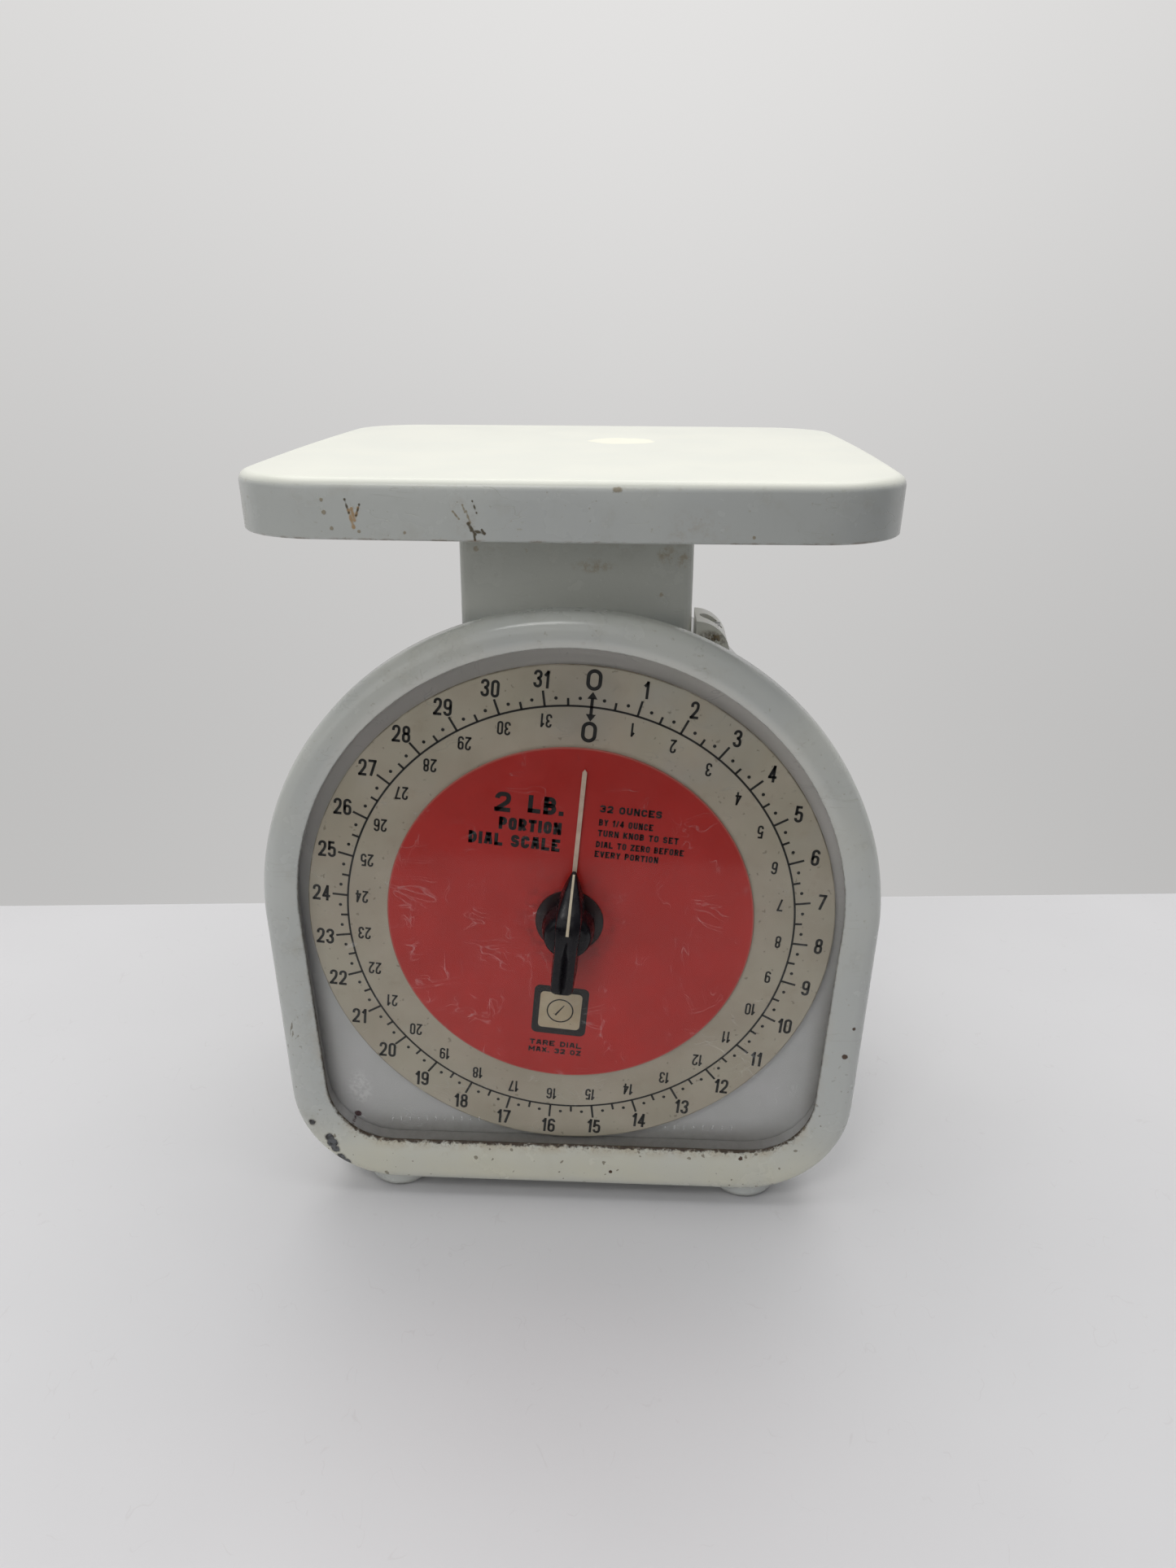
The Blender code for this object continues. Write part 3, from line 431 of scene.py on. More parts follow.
def enamel_base(look, pale, cool, grime):
    """Thick glossy enamel: slow colour drift, faint grime, orange peel and hairline scratches."""
    drift = look.blotches(42, 2, 0.55, 0.35, 0.65)
    look.colour = look.mix(drift, pale, cool)
    film = look.blotches(9, 5, 0.65, 0.52, 0.8, (0.0, 0.35), shift=3)
    look.paint(grime, film)
    dust = look.specks(0.9, 0.74, shift=11)
    look.paint(grime, dust, 0.5)
    hair = look.scratches(14, 2, (1, 1, 3.5))
    look.paint(grime, hair, 0.25)
    peel = look.noise(1.6, 2, 0.5)
    height = look.minus(look.times(peel, 0.35), look.times(look.either(dust, hair), 0.4))
    roughness = look.plus(look.blotches(13, 4, 0.6, 0.3, 0.7, (0.17, 0.29), shift=8),
                          look.times(look.either(dust, film), 0.25))
    return roughness, height


DARK_RUST = (0.075, 0.04, 0.022)
BARE = (0.13, 0.135, 0.14)

# Marks on the parts: (point, radius), or start and end as x, z with a width for thin strokes
CORNER_CHIPS = [((-69.0, -57.5, 23.4), 1.0), ((-64.5, -57.5, 18.7), 1.3), ((-63.9, -57.5, 16.9), 1.6),
                ((-63.3, -57.5, 15.0), 1.3), ((-61.9, -57.5, 12.1), 1.35), ((-60.5, -57.5, 10.6), 1.1)]
LARGE_DROPS = [((70.6, -60.5, 49.0), 0.9), ((45.8, -60.5, 16.0), 0.8)]
SMALL_DROPS = [((72.2, -60.0, 57.3), 0.7), ((11.2, -60.5, 10.5), 0.6)]
COLUMN_DOTS = [((-24.6, -29.0, 171.6), 0.8), ((-12.5, -29.0, 171.2), 0.7), ((21.3, -29.0, 160.8), 0.7)]
SKIRT_DOTS = [((-50.3, -73.8, 189.0), 0.5), ((-50.0, -73.8, 186.4), 0.6), ((-48.6, -73.8, 183.1), 0.5),
              ((-42.8, -73.8, 182.5), 0.45), ((-33.2, -73.8, 182.4), 0.4), ((39.2, -73.8, 182.2), 0.45)]
DARK_STROKES = [((-45.4, 189.1), (-44.7, 186.3), 0.5), ((-42.4, 188.1), (-43.2, 185.8), 0.45),
                ((-18.8, 189.1), (-18.0, 186.7), 0.4), ((-19.8, 184.5), (-18.5, 182.3), 0.75),
                ((-19.2, 183.1), (-16.5, 182.5), 0.65), ((-18.7, 182.7), (-18.5, 181.1), 0.5),
                ((-17.0, 183.2), (-16.5, 182.4), 0.5)]
ORANGE_STROKES = [((-44.7, 186.9), (-43.9, 183.4), 0.8), ((-44.1, 187.2), (-43.6, 184.8), 0.7),
                  ((-42.7, 187.4), (-43.6, 184.8), 0.6)]
FAINT_STROKES = [((-22.9, 186.9), (-21.7, 185.4), 0.45), ((-20.9, 188.3), (-20.4, 186.8), 0.4),
                 ((-20.2, 187.0), (-19.4, 184.7), 0.5), ((-39.5, 180.6), (-34.9, 180.4), 0.4),
                 ((7.9, 180.4), (14.2, 180.3), 0.4), ((18.7, 180.4), (21.8, 180.3), 0.4)]
SEAM_STAIN = (31.2, -49.5, 156.1)
PLATE_SCRATCH = (-57.2, -53.5, 29.8)
PLATE_SPECK = (-58.2, -53.5, 21.5)
WINDOW_IOR = 1.175             # sets how strongly the window mirrors, less than real acrylic would


def bezel_enamel():
    """Bezel paint: dirt packed along the window, chips on the lower left, cream lower rail."""
    look = Look("bezel_enamel")
    x, _, z = look.axes
    roughness, height = enamel_base(look, (0.615, 0.622, 0.572), (0.58, 0.597, 0.570), (0.38, 0.365, 0.29))
    low = look.step(z, 8.0, 32.0, (1.0, 0.0))
    cream = look.times(low, look.blotches(22, 3, 0.55, 0.25, 0.7, (0.45, 0.9), shift=21),
                       look.step(z, 4.8, 9.0, (0.35, 1.0)))
    look.paint((0.665, 0.645, 0.515), cream)
    edge = look.add("ShaderNodeAttribute", {}, attribute_name="from_window").outputs["Fac"]
    bottom = look.step(z, 19.0, 33.0, (1.0, 0.0))
    sides = look.step(z, 30.0, 118.0, (0.5, 0.0))
    left = look.times(sides, look.step(x, -30.0, -55.0))
    right = look.times(sides, 0.5, look.step(x, 30.0, 55.0))
    heavy = look.either(bottom, left, right)
    jitter = look.times(look.blotches(1.6, 6, 0.75, 0.25, 0.75, (0.6, -0.6), shift=31),
                        look.plus(look.times(bottom, 0.8), 0.2))
    reach = look.plus(look.minus(edge, look.times(heavy, 0.42)), jitter)
    packed = look.step(reach, -0.3, 0.35, (1.0, 0.0))
    # Painted shade: a plain darker band over the bezel between about 24 and 95 mm up.
    dull = look.times(look.step(z, 95.0, 75.0), look.step(z, 14.0, 24.0), 0.16)
    look.paint((0.30, 0.31, 0.30), dull)
    crumbs = look.times(look.step(look.minus(edge, look.times(heavy, 1.3)), -0.9, 0.5, (1.0, 0.0)),
                        look.blotches(0.9, 5, 0.75, 0.51, 0.60, shift=101), heavy)
    # Painted reflection: a paler band on the upper bezel face beside the window, standing in for the bright
    # floor mirrored there.
    painted_reflection_band = look.times(look.step(edge, 1.0, 3.4, (0.55, 0.0)), look.step(z, 100.0, 140.0))
    look.paint((0.74, 0.735, 0.68), painted_reflection_band)
    halo = look.times(look.step(edge, 0.3, 2.6, (1.0, 0.0)), heavy,
                      look.blotches(5, 4, 0.7, 0.40, 0.62, shift=41))
    look.paint((0.42, 0.32, 0.17), halo, 0.4)
    look.paint((0.17, 0.10, 0.045), crumbs, 0.6)
    look.paint(look.mix(look.noise(1.0, 4, 0.7, shift=111), (0.07, 0.042, 0.022), (0.02, 0.015, 0.01)),
               packed)
    notch = look.near((71.4, -57.5, 47.5), 1.0, 0.15, (1.4, 1, 0.5), 1.5, 0.9)
    chips = look.either(notch, *look.spots(CORNER_CHIPS, 0.12, (1, 0.15, 1), 1.1, 1.1))
    lower_notch = look.near((-57.0, -57.0, 7.2), 1.6, 0.5, (0.7, 0.7, 1.2), 1.6, 0.9)
    rings = look.either(lower_notch, *look.spots(CORNER_CHIPS, 0.3, (1, 0.15, 1), 1.1, 1.1, grow=0.5))
    look.paint((0.20, 0.18, 0.13), rings, 0.5)
    metal = look.mix(look.blotches(1.5, 4, 0.7, 0.42, 0.62, shift=61), BARE, (0.035, 0.032, 0.03))
    look.paint(metal, chips)
    scars = look.times(look.near((-72.4, -58.0, 54.0), 9.5, 0.5, (1.6, 1, 0.8)),
                       look.step(look.noise(2.4, 3, 0.6, (1, 1, 0.45), 71, 1.2), 0.62, 0.66))
    specks = look.times(look.step(z, 10.0, 60.0, (1.0, 0.1)), look.specks(1.9, 0.70, shift=81))
    drops = look.either(*look.spots(LARGE_DROPS, 0.3, (1, 1, 1), 0.8, 0.7),
                        *look.spots(SMALL_DROPS, 0.3, (1, 1, 1), 0.6, 0.7))
    look.paint((0.17, 0.14, 0.09), look.either(scars, specks), 0.75)
    look.paint(DARK_RUST, drops)
    hollow = look.minus(height, look.times(chips, 2.6))
    relief = look.plus(hollow, look.times(packed, look.noise(0.9, 4, 0.7, shift=91), 0.8))
    roughness = look.plus(roughness, look.times(look.either(chips, packed), 0.4))
    return look.finish(roughness, relief, 0.09)


def body_enamel():
    """Paint of the shell, column and feet, with stains where the parts meet, and painted light on the column
    top and the zero-screw boss.
    """
    look = Look("body_enamel")
    _, y, z = look.axes
    roughness, height = enamel_base(look, (0.60, 0.612, 0.568), (0.565, 0.583, 0.558), (0.36, 0.345, 0.28))
    stain_map = look.blotches(3.4, 5, 0.7, 0.46, 0.66, shift=15)
    under_pan = look.times(look.step(z, 166.0, 180.0), look.step(y, -20.0, -28.0), stain_map)
    stains = look.either(look.near((22.4, -29.0, 170.6), 3.2, 0.8, ragged=3.0, size=1.8),
                         look.near((26.4, -29.0, 169.4), 2.6, 0.8, ragged=2.4, size=1.6),
                         look.near((4.5, -29.0, 167.6), 4.0, 0.9, (0.6, 1, 1.8), 3.0, 1.8),
                         *look.spots(COLUMN_DOTS, 0.3, (1, 1, 1), 0.7, 0.7))
    # Painted light: the column and shell top above about 155 mm, shaded by the pan, are painted much paler.
    high = look.step(z, 152.0, 158.0)
    look.paint((0.84, 0.845, 0.79), high, 0.8)
    mottle = look.blotches(1.7, 5, 0.75, 0.40, 0.62, shift=75)
    look.paint((0.42, 0.29, 0.12), stains, mottle, 0.5)
    seam = look.times(look.step(y, -51.7, -50.9, (1.0, 0.0)), look.step(z, 88.0, 120.0),
                      look.blotches(3.0, 4, 0.7, 0.35, 0.6, shift=85), 0.7)
    seam = look.either(seam,
                       look.times(look.near(SEAM_STAIN, 4.4, 0.6, (0.8, 0.7, 1.2), 2.6, 1.3),
                                  look.blotches(1.1, 5, 0.75, 0.36, 0.52, shift=95)))
    look.paint(look.mix(look.blotches(0.9, 4, 0.7, 0.35, 0.65, shift=35), (0.26, 0.18, 0.08),
                        (0.07, 0.045, 0.025)), seam)
    look.paint((0.34, 0.29, 0.19), under_pan, 0.35)
    # Painted light: a pale cream patch on the zero-screw boss beside the column, which stands in the pan's
    # shadow; the rust stain below is kept to the same patch.
    painted_light_boss_patch = look.near((34.5, -21.0, 150.0), 13.0, 0.35)
    look.paint((0.95, 0.93, 0.83), painted_light_boss_patch, 0.92)
    rusty = look.times(look.near((33.6, -29.0, 149.6), 4.2, 0.7, (0.75, 0.8, 1.5), 3.0, 1.6), painted_light_boss_patch,
                       look.blotches(1.5, 5, 0.75, 0.38, 0.56, shift=65))
    look.paint(look.mix(look.blotches(1.0, 4, 0.7, 0.35, 0.65, shift=35), (0.30, 0.21, 0.10),
                        (0.10, 0.07, 0.04)), rusty)
    foot = look.times(look.step(z, 0.2, 2.6, (0.7, 0.0)), look.blotches(2.6, 4, 0.7, 0.3, 0.6, shift=45))
    look.paint((0.10, 0.085, 0.06), foot)
    crust = look.times(look.either(rusty, foot), look.noise(0.8, 4, 0.7, shift=55), 1.6)
    relief = look.plus(height, crust)
    roughness = look.plus(roughness, look.times(look.either(rusty, foot, under_pan), 0.3))
    return look.finish(roughness, relief, 0.08)


def platform_enamel():
    """Ivory top that wears cream in places, greyer skirt with rust runs and a stained lower edge."""
    look = Look("platform_enamel")
    x, y, z = look.axes
    top = look.step(z, PLATFORM_TOP - 2.2, PLATFORM_TOP - 0.7)
    skirt = look.inverse(top)
    roughness, height = enamel_base(look, (0.585, 0.603, 0.572), (0.55, 0.568, 0.548), (0.38, 0.355, 0.28))
    wear = look.blotches(26, 3, 0.55, 0.35, 0.65, shift=13)
    worn = look.mix(wear, (0.79, 0.80, 0.715), (0.815, 0.82, 0.73))
    look.paint(worn, top)
    cream = look.times(look.near((9.8, 17.5, PLATFORM_TOP), 9.5, 0.14, (1.0, 0.95, 1.0), 6.0, 7.0), top)
    look.paint((0.985, 0.965, 0.80), cream, 0.9)
    shaded = look.times(look.step(x, 5.0, 72.0, (0.0, 0.22)), skirt)
    look.paint((0.25, 0.26, 0.25), shaded)
    rub = look.times(top, look.step(look.noise(7, 5, 0.7, stretch=(1, 0.5, 1), shift=23), 0.5, 0.8), 0.15)
    look.paint((0.72, 0.70, 0.61), rub)
    front = look.step(y, -60.0, -70.0)
    dark, orange, faint = (look.strokes(lines) for lines in (DARK_STROKES, ORANGE_STROKES, FAINT_STROKES))
    lip_spot = look.near((11.0, -73.8, 191.7), 0.9, 0.5, (0.7, 1, 1.2), 0.8, 0.8)
    spots = look.either(lip_spot, *look.spots(SKIRT_DOTS, 0.4, (1, 0, 1), 0.5, 0.6))
    smear = look.times(look.either(look.near((-20.4, -73.8, 186.2), 4.6, 0.9, (1.0, 0, 0.7), 3.0, 1.6),
                                   look.near((27.5, -73.8, 184.0), 9.0, 0.9, (0.8, 0, 1.5), 4.0, 2.0)),
                       look.blotches(1.8, 4, 0.7, 0.45, 0.7, shift=73), front)
    look.paint((0.37, 0.30, 0.22), smear, 0.3)
    look.paint((0.42, 0.24, 0.075), orange, front, 0.8)
    look.paint((0.22, 0.15, 0.05), look.either(spots, faint), front, 0.65)
    look.paint((0.075, 0.055, 0.022), dark, front, 0.92)
    low_edge = look.step(z, SKIRT_BOTTOM + 0.1, SKIRT_BOTTOM + 0.75, (1.0, 0.0))
    rust = look.times(low_edge, look.blotches(6.5, 5, 0.7, 0.48, 0.62, shift=33))
    look.paint(look.mix(look.noise(1.4, 3, 0.6), (0.24, 0.16, 0.08), DARK_RUST), rust, 0.6)
    worn_edge = look.times(look.near((0, 0, PLATFORM_TOP - 1.0), 1.2, 0.6, (0, 0, 1)),
                           look.blotches(4.5, 5, 0.7, 0.55, 0.7, shift=43), skirt, 0.5)
    look.paint((0.44, 0.40, 0.30), worn_edge)
    stain = look.either(look.times(look.either(dark, orange, spots), front), rust)
    relief = look.plus(look.times(height, look.step(top, 0.0, 1.0, (1.0, 0.04))),
                       look.times(stain, look.noise(0.7, 4, 0.7, shift=53), 1.5))
    worn_gloss = look.blotches(26, 3, 0.55, 0.35, 0.65, (0.30, 0.34), shift=13)
    roughness = look.plus(look.times(roughness, skirt), look.times(top, worn_gloss))
    roughness = look.plus(roughness, look.times(stain, 0.25))
    return look.finish(roughness, relief, 0.07)


def silver_plate():
    """Silver-painted sheet behind the dial, with painted light towards the top and painted shade, mottled by
    grain, towards the window's bottom and side edges.
    """
    look = Look("silver_plate", metallic=0.1)
    x, _, z = look.axes
    brushed = look.noise(0.35, 3, 0.7, stretch=(0.03, 1, 1))
    look.colour = look.mix(brushed, (0.61, 0.607, 0.615), (0.655, 0.65, 0.655))
    cloud = look.blotches(14, 4, 0.6, 0.4, 0.75, (0.0, 0.4), shift=4)
    look.paint((0.56, 0.555, 0.55), cloud)
    # Painted light: the plate grows paler towards the top, where the bezel shades it.
    look.paint((0.86, 0.825, 0.80), look.step(z, 60.0, 135.0, (0.0, 0.95)))
    # Painted shade, mottled by grain: darker along the window's bottom edge and along its sides, most of all
    # low down.
    grain = look.blotches(2.2, 5, 0.75, 0.3, 0.7, (0.75, 1.0), shift=14)
    bottom = look.times(look.step(z, 13.5, 24.0, (0.8, 0.0)), grain)
    look.paint((0.22, 0.20, 0.175), bottom)
    wall = look.minus(look.calc("ABSOLUTE", x), look.times(look.minus(z, 18.0), 0.06))
    side = look.times(look.step(wall, 60.0, 65.5, (0.0, 0.6)), grain, look.step(z, 45.0, 80.0, (1.0, 0.25)))
    look.paint((0.22, 0.205, 0.185), side)
    pale = look.times(look.near(PLATE_SCRATCH, 4.4, 0.6, (1, 0, 0.62), 1.5, 1.0),
                      look.blotches(1.0, 4, 0.7, 0.4, 0.6, shift=34), 0.55)
    look.paint((0.86, 0.86, 0.86), pale)
    look.paint((0.06, 0.012, 0.018), look.near(PLATE_SPECK, 1.15, 0.25, (1, 0, 1.15), 0.7, 0.8))
    roughness = look.blotches(8, 3, 0.55, 0.3, 0.7, (0.42, 0.58))
    return look.finish(roughness, brushed, 0.02)


def dial_plastic():
    """Clear numbered dial gone yellow: translucent ring with cloudy patches, fine specks, and painted sheen
    and shade on its upper part.
    """
    look = Look("yellowed_dial_plastic")
    cloud = look.blotches(17, 4, 0.6, 0.3, 0.72)
    look.colour = look.mix(cloud, (0.54, 0.475, 0.38), (0.61, 0.555, 0.455))
    blot = look.times(look.blotches(6.0, 5, 0.7, 0.55, 0.75, shift=9), 0.4)
    look.paint((0.46, 0.37, 0.28), blot)
    # Painted sheen: grey patches over the upper half of the ring.
    high = look.step(look.axes[2], DIAL_Z, DIAL_Z + 40.0)
    painted_sheen = look.times(look.blotches(24, 3, 0.5, 0.44, 0.62, shift=59), high, 0.55)
    look.paint((0.56, 0.55, 0.505), painted_sheen)
    # Painted shade: a darker patch on the ring near its top, by the zero.
    painted_shade_top = look.times(look.near((2.0, DIAL_Y[0], DIAL_Z + 58.0), 17.0, 0.8, (1, 0, 1), 9.0, 6.0), 0.4)
    look.paint((0.36, 0.31, 0.27), painted_shade_top)
    dots = look.specks(1.2, 0.73, shift=19)
    look.paint((0.12, 0.09, 0.06), dots, 0.4)
    rim = look.inverse(look.near((0, DIAL_Y[0], DIAL_Z), DIAL_RADIUS - 0.05, 0.006, (1, 0, 1)))
    broken = look.blotches(7, 3, 0.6, 0.35, 0.6, (0.25, 0.8), shift=49)
    look.paint((0.16, 0.13, 0.09), rim, broken)
    alpha = look.blotches(20, 2, 0.55, 0.3, 0.7, (0.88, 0.94), shift=29)
    roughness = look.blotches(9, 3, 0.55, 0.3, 0.7, (0.28, 0.42), shift=39)
    return look.finish(roughness, look.noise(2.0, 2), 0.01, alpha)


def red_dial():
    """Red centre of the dial with mottled fading, painted shade towards the top, darker blotches round the
    knob and a paler worn rim.
    """
    look = Look("red_dial")
    cloud = look.blotches(19, 4, 0.6, 0.3, 0.7)
    look.colour = look.mix(cloud, (0.565, 0.028, 0.023), (0.635, 0.036, 0.030))
    # Painted shade: the red darkens towards the top of the disc.
    painted_shade_upper = look.step(look.axes[2], DIAL_Z + 5.0, DIAL_Z + 45.0, (0.0, 0.45))
    look.paint((0.41, 0.025, 0.018), painted_shade_upper)
    grain = look.blotches(0.8, 4, 0.7, 0.35, 0.7, (0.0, 0.25), shift=7)
    look.paint((0.45, 0.024, 0.020), grain)
    # Darker blotches round the knob.
    dark_blotches_round_knob = look.times(look.near((0, RED_Y[0], DIAL_Z), 15.0, 0.55, (1, 0, 1), 8.0, 3.0),
                        look.blotches(3.0, 4, 0.7, 0.42, 0.62, shift=17))
    look.paint((0.16, 0.012, 0.012), dark_blotches_round_knob, 0.45)
    rim = look.inverse(look.near((0, RED_Y[0], DIAL_Z), RED_RADIUS - 0.05, 0.012, (1, 0, 1)))
    look.paint((0.55, 0.22, 0.18), rim, 0.6)
    roughness = look.blotches(9, 3, 0.55, 0.3, 0.7, (0.32, 0.46), shift=27)
    return look.finish(roughness, look.noise(1.4, 2), 0.012)


def printing_ink():
    look = Look("black_ink")
    wear = look.blotches(1.1, 5, 0.75, 0.55, 0.8, (0.0, 0.45))
    look.colour = look.mix(wear, (0.016, 0.015, 0.016), (0.06, 0.05, 0.042))
    return look.finish(look.blotches(3, 2, 0.55, 0.3, 0.7, (0.35, 0.55)))


def cream_ink():
    look = Look("cream_ink")
    drift = look.blotches(4, 4, 0.7, 0.3, 0.7)
    look.colour = look.mix(drift, (0.60, 0.50, 0.34), (0.66, 0.57, 0.42))
    mark = look.blotches(1.3, 5, 0.75, 0.66, 0.72, (0.0, 0.7), shift=6)
    look.paint((0.20, 0.10, 0.035), mark)
    return look.finish(look.blotches(2, 2, 0.55, 0.3, 0.7, (0.45, 0.6)))


def worn_paint(name, fresh, worn, wear, gloss, grain, depth):
    """Plain paint: wear and gloss are noise blotches, grain is the size of its fine bumps."""
    look = Look(name)
    look.colour = look.mix(look.blotches(*wear), fresh, worn)
    return look.finish(look.blotches(*gloss), look.noise(grain, 3), depth)


def black_plastic():
    """Moulded knob plastic: glossy, with dusty blotches and faint rubbed lines."""
    look = Look("black_plastic", ior=1.36)
    dust = look.blotches(2.4, 5, 0.7, 0.5, 0.85, (0.0, 0.3))
    look.colour = look.mix(dust, (0.006, 0.005, 0.007), (0.025, 0.021, 0.022))
    rub = look.scratches(4, 12, (1, 1, 0.4))
    look.paint((0.08, 0.075, 0.075), rub, 0.3)
    roughness = look.blotches(3.2, 4, 0.6, 0.3, 0.7, (0.17, 0.36), shift=22)
    return look.finish(roughness, look.noise(0.6, 3), 0.012)


def steel(name, shade, seed):
    """Zinc-plated or bare steel: dull lustre, rolled grain and scattered tarnish."""
    look = Look(name, metallic=1.0)
    grain = look.noise(0.5, 3, 0.7, stretch=(1, 1, 0.06), shift=seed)
    look.colour = look.mix(grain, tuple(0.86 * c for c in shade), shade)
    tarnish = look.step(look.noise(4.5, 5, 0.7, shift=seed + 5), 0.52, 0.74, (0.0, 0.7))
    look.paint((0.24, 0.17, 0.11), tarnish)
    roughness = look.plus(look.step(grain, 0.2, 0.8, (0.26, 0.42)), look.times(tarnish, 0.3))
    return look.finish(roughness, grain, 0.03)


def clear_acrylic():
    """Clear window: what lies behind shows through, under a gloss with smears and hairlines."""
    look = Look("clear_acrylic")
    nodes, links = look.tree.nodes, look.tree.links
    hair = look.either(look.scratches(18, 3, (1, 1, 2.6)), look.scratches(12, 9, (2.4, 1, 1)))
    smear = look.blotches(14, 4, 0.6, 0.4, 0.7, (0.05, 0.12), shift=6)
    roughness = look.plus(smear, look.times(hair, 0.3))
    bump = look.add("ShaderNodeBump", {"Height": look.noise(30, 2), "Strength": 1.0, "Distance": 0.05 * MM})
    gloss = look.add("ShaderNodeBsdfGlossy", {"Color": (1, 1, 1, 1), "Roughness": roughness,
                                              "Normal": bump.outputs["Normal"]})
    tint = look.mix(look.blotches(12, 3, 0.55, 0.3, 0.7, shift=16), (0.99, 0.99, 0.985), (0.975, 0.98, 0.97))
    through = look.add("ShaderNodeBsdfTransparent", {"Color": tint})
    fresnel = look.add("ShaderNodeFresnel", {"IOR": WINDOW_IOR})
    veil = look.plus(fresnel.outputs["Fac"], look.times(hair, 0.10))
    blend = look.add("ShaderNodeMixShader", {0: veil, 1: through.outputs[0], 2: gloss.outputs[0]})
    nodes.remove(look.shader)
    raised = look.times(look.step(look.axes[1], LENS_Y[0] - 0.02, LENS_Y[0] - 0.06),
                        look.step(look.axes[2], 34.0, 30.0))
    pale = look.add("ShaderNodeBsdfDiffuse", {"Color": (0.62, 0.62, 0.62, 1)})
    frosted = look.add("ShaderNodeMixShader", {0: look.times(raised, 0.45), 1: blend.outputs[0],
                                               2: pale.outputs[0]})
    links.new(frosted.outputs[0], nodes["Material Output"].inputs["Surface"])
    return look.mat


def studio_floor():
    look = Look("pale_floor")
    drift = look.blotches(160, 3, 0.55, 0.3, 0.7)
    look.colour = look.mix(drift, (0.725, 0.72, 0.73), (0.70, 0.695, 0.705))
    fibre = look.scratches(9, 2, (1, 0.6, 1))
    look.paint((0.55, 0.52, 0.52), fibre, 0.2)
    return look.finish(look.blotches(60, 2, 0.55, 0.3, 0.7, (0.55, 0.7)), look.noise(1.2, 3), 0.02)


BEZEL_PAINT = bezel_enamel()
BODY_PAINT = body_enamel()
PAN_PAINT = platform_enamel()
SILVER = silver_plate()
DIAL_PLASTIC = dial_plastic()
RED = red_dial()
INK = printing_ink()
CREAM = cream_ink()
NEEDLE = worn_paint("white_needle_paint", (0.80, 0.66, 0.54), (0.66, 0.50, 0.40), (3, 4, 0.7, 0.3, 0.75),
                    (2, 2, 0.55, 0.3, 0.7, (0.4, 0.55)), 0.8, 0.02)
POINTER = worn_paint("red_pointer_paint", (0.34, 0.035, 0.02), (0.24, 0.03, 0.02), (5, 4, 0.7, 0.3, 0.7),
                     (2, 2, 0.55, 0.3, 0.7, (0.35, 0.5)), 0.9, 0.02)
BLACK = black_plastic()
HUB = worn_paint("hub_paint", (0.030, 0.008, 0.009), (0.014, 0.007, 0.009), (3, 5, 0.7, 0.35, 0.7),
                 (2, 3, 0.55, 0.3, 0.7, (0.45, 0.62), 12), 0.9, 0.015)
CLEAR = clear_acrylic()
ZINC = steel("zinc_plated_steel", (0.60, 0.60, 0.585), 1)
SPRING = steel("spring_steel", (0.42, 0.42, 0.43), 41)
BRASS = steel("worn_brass", (0.72, 0.53, 0.24), 71)
FLOOR = studio_floor()


# ---------------------------------------------------------------- casing pieces

def at_y(outline, y):
    return [(x, y, z) for x, z in outline]


def at_z(outline, z):
    return [(x, y, z) for x, y in outline]


def front_bezel():
    """Bezel ring with a soft window lip and a full outer round, marked by distance from the window."""
    front, back = BEZEL_Y
    lip = [(0.0, LIP_BACK), (0.0, -59.35), (0.06, -59.55), (0.22, -59.72), (0.5, -59.84), (0.9, -59.92)]
    outer = [(down, front + side) for side, down in quarter(RIM_ROUND, 12)[1:]]
    outer += [(0.0, back - 0.9), (0.1, back - 0.35), (0.5, back)]
    loops = [(offset, at_y(arch(**WINDOW, inset=-offset), y)) for offset, y in lip]
    face_end = at_y(arch(**RIM, inset=RIM_ROUND), front)
    face_start = loops[-1][1]
    sunk = lip[-1][1] - front
    for k in range(1, 13):
        crown = front + sunk * max(0.0, 1 - k / 9) ** 2
        blended = [between(p, q, k / 12) for p, q in zip(face_start, face_end)]
        loops.append((0.9 + 4.9 * k / 12, [(x, crown, z) for x, _, z in blended]))
    loops += [(8.0, at_y(arch(**RIM, inset=offset), y)) for offset, y in outer]
    loops += [(20.0, at_y(arch(**WINDOW, inset=-RABBET), y)) for y in (back, LIP_BACK)]
    bm = loft([loop for _, loop in loops], closed=True)
    layer = bm.verts.layers.float.new("from_window")
    bm.verts.ensure_lookup_table()
    per_loop = len(loops[0][1])
    for index, vert in enumerate(bm.verts):
        vert[layer] = loops[index // per_loop][0]
    return piece("bezel", bm, BEZEL_PAINT, "base", ["front_bezel"])


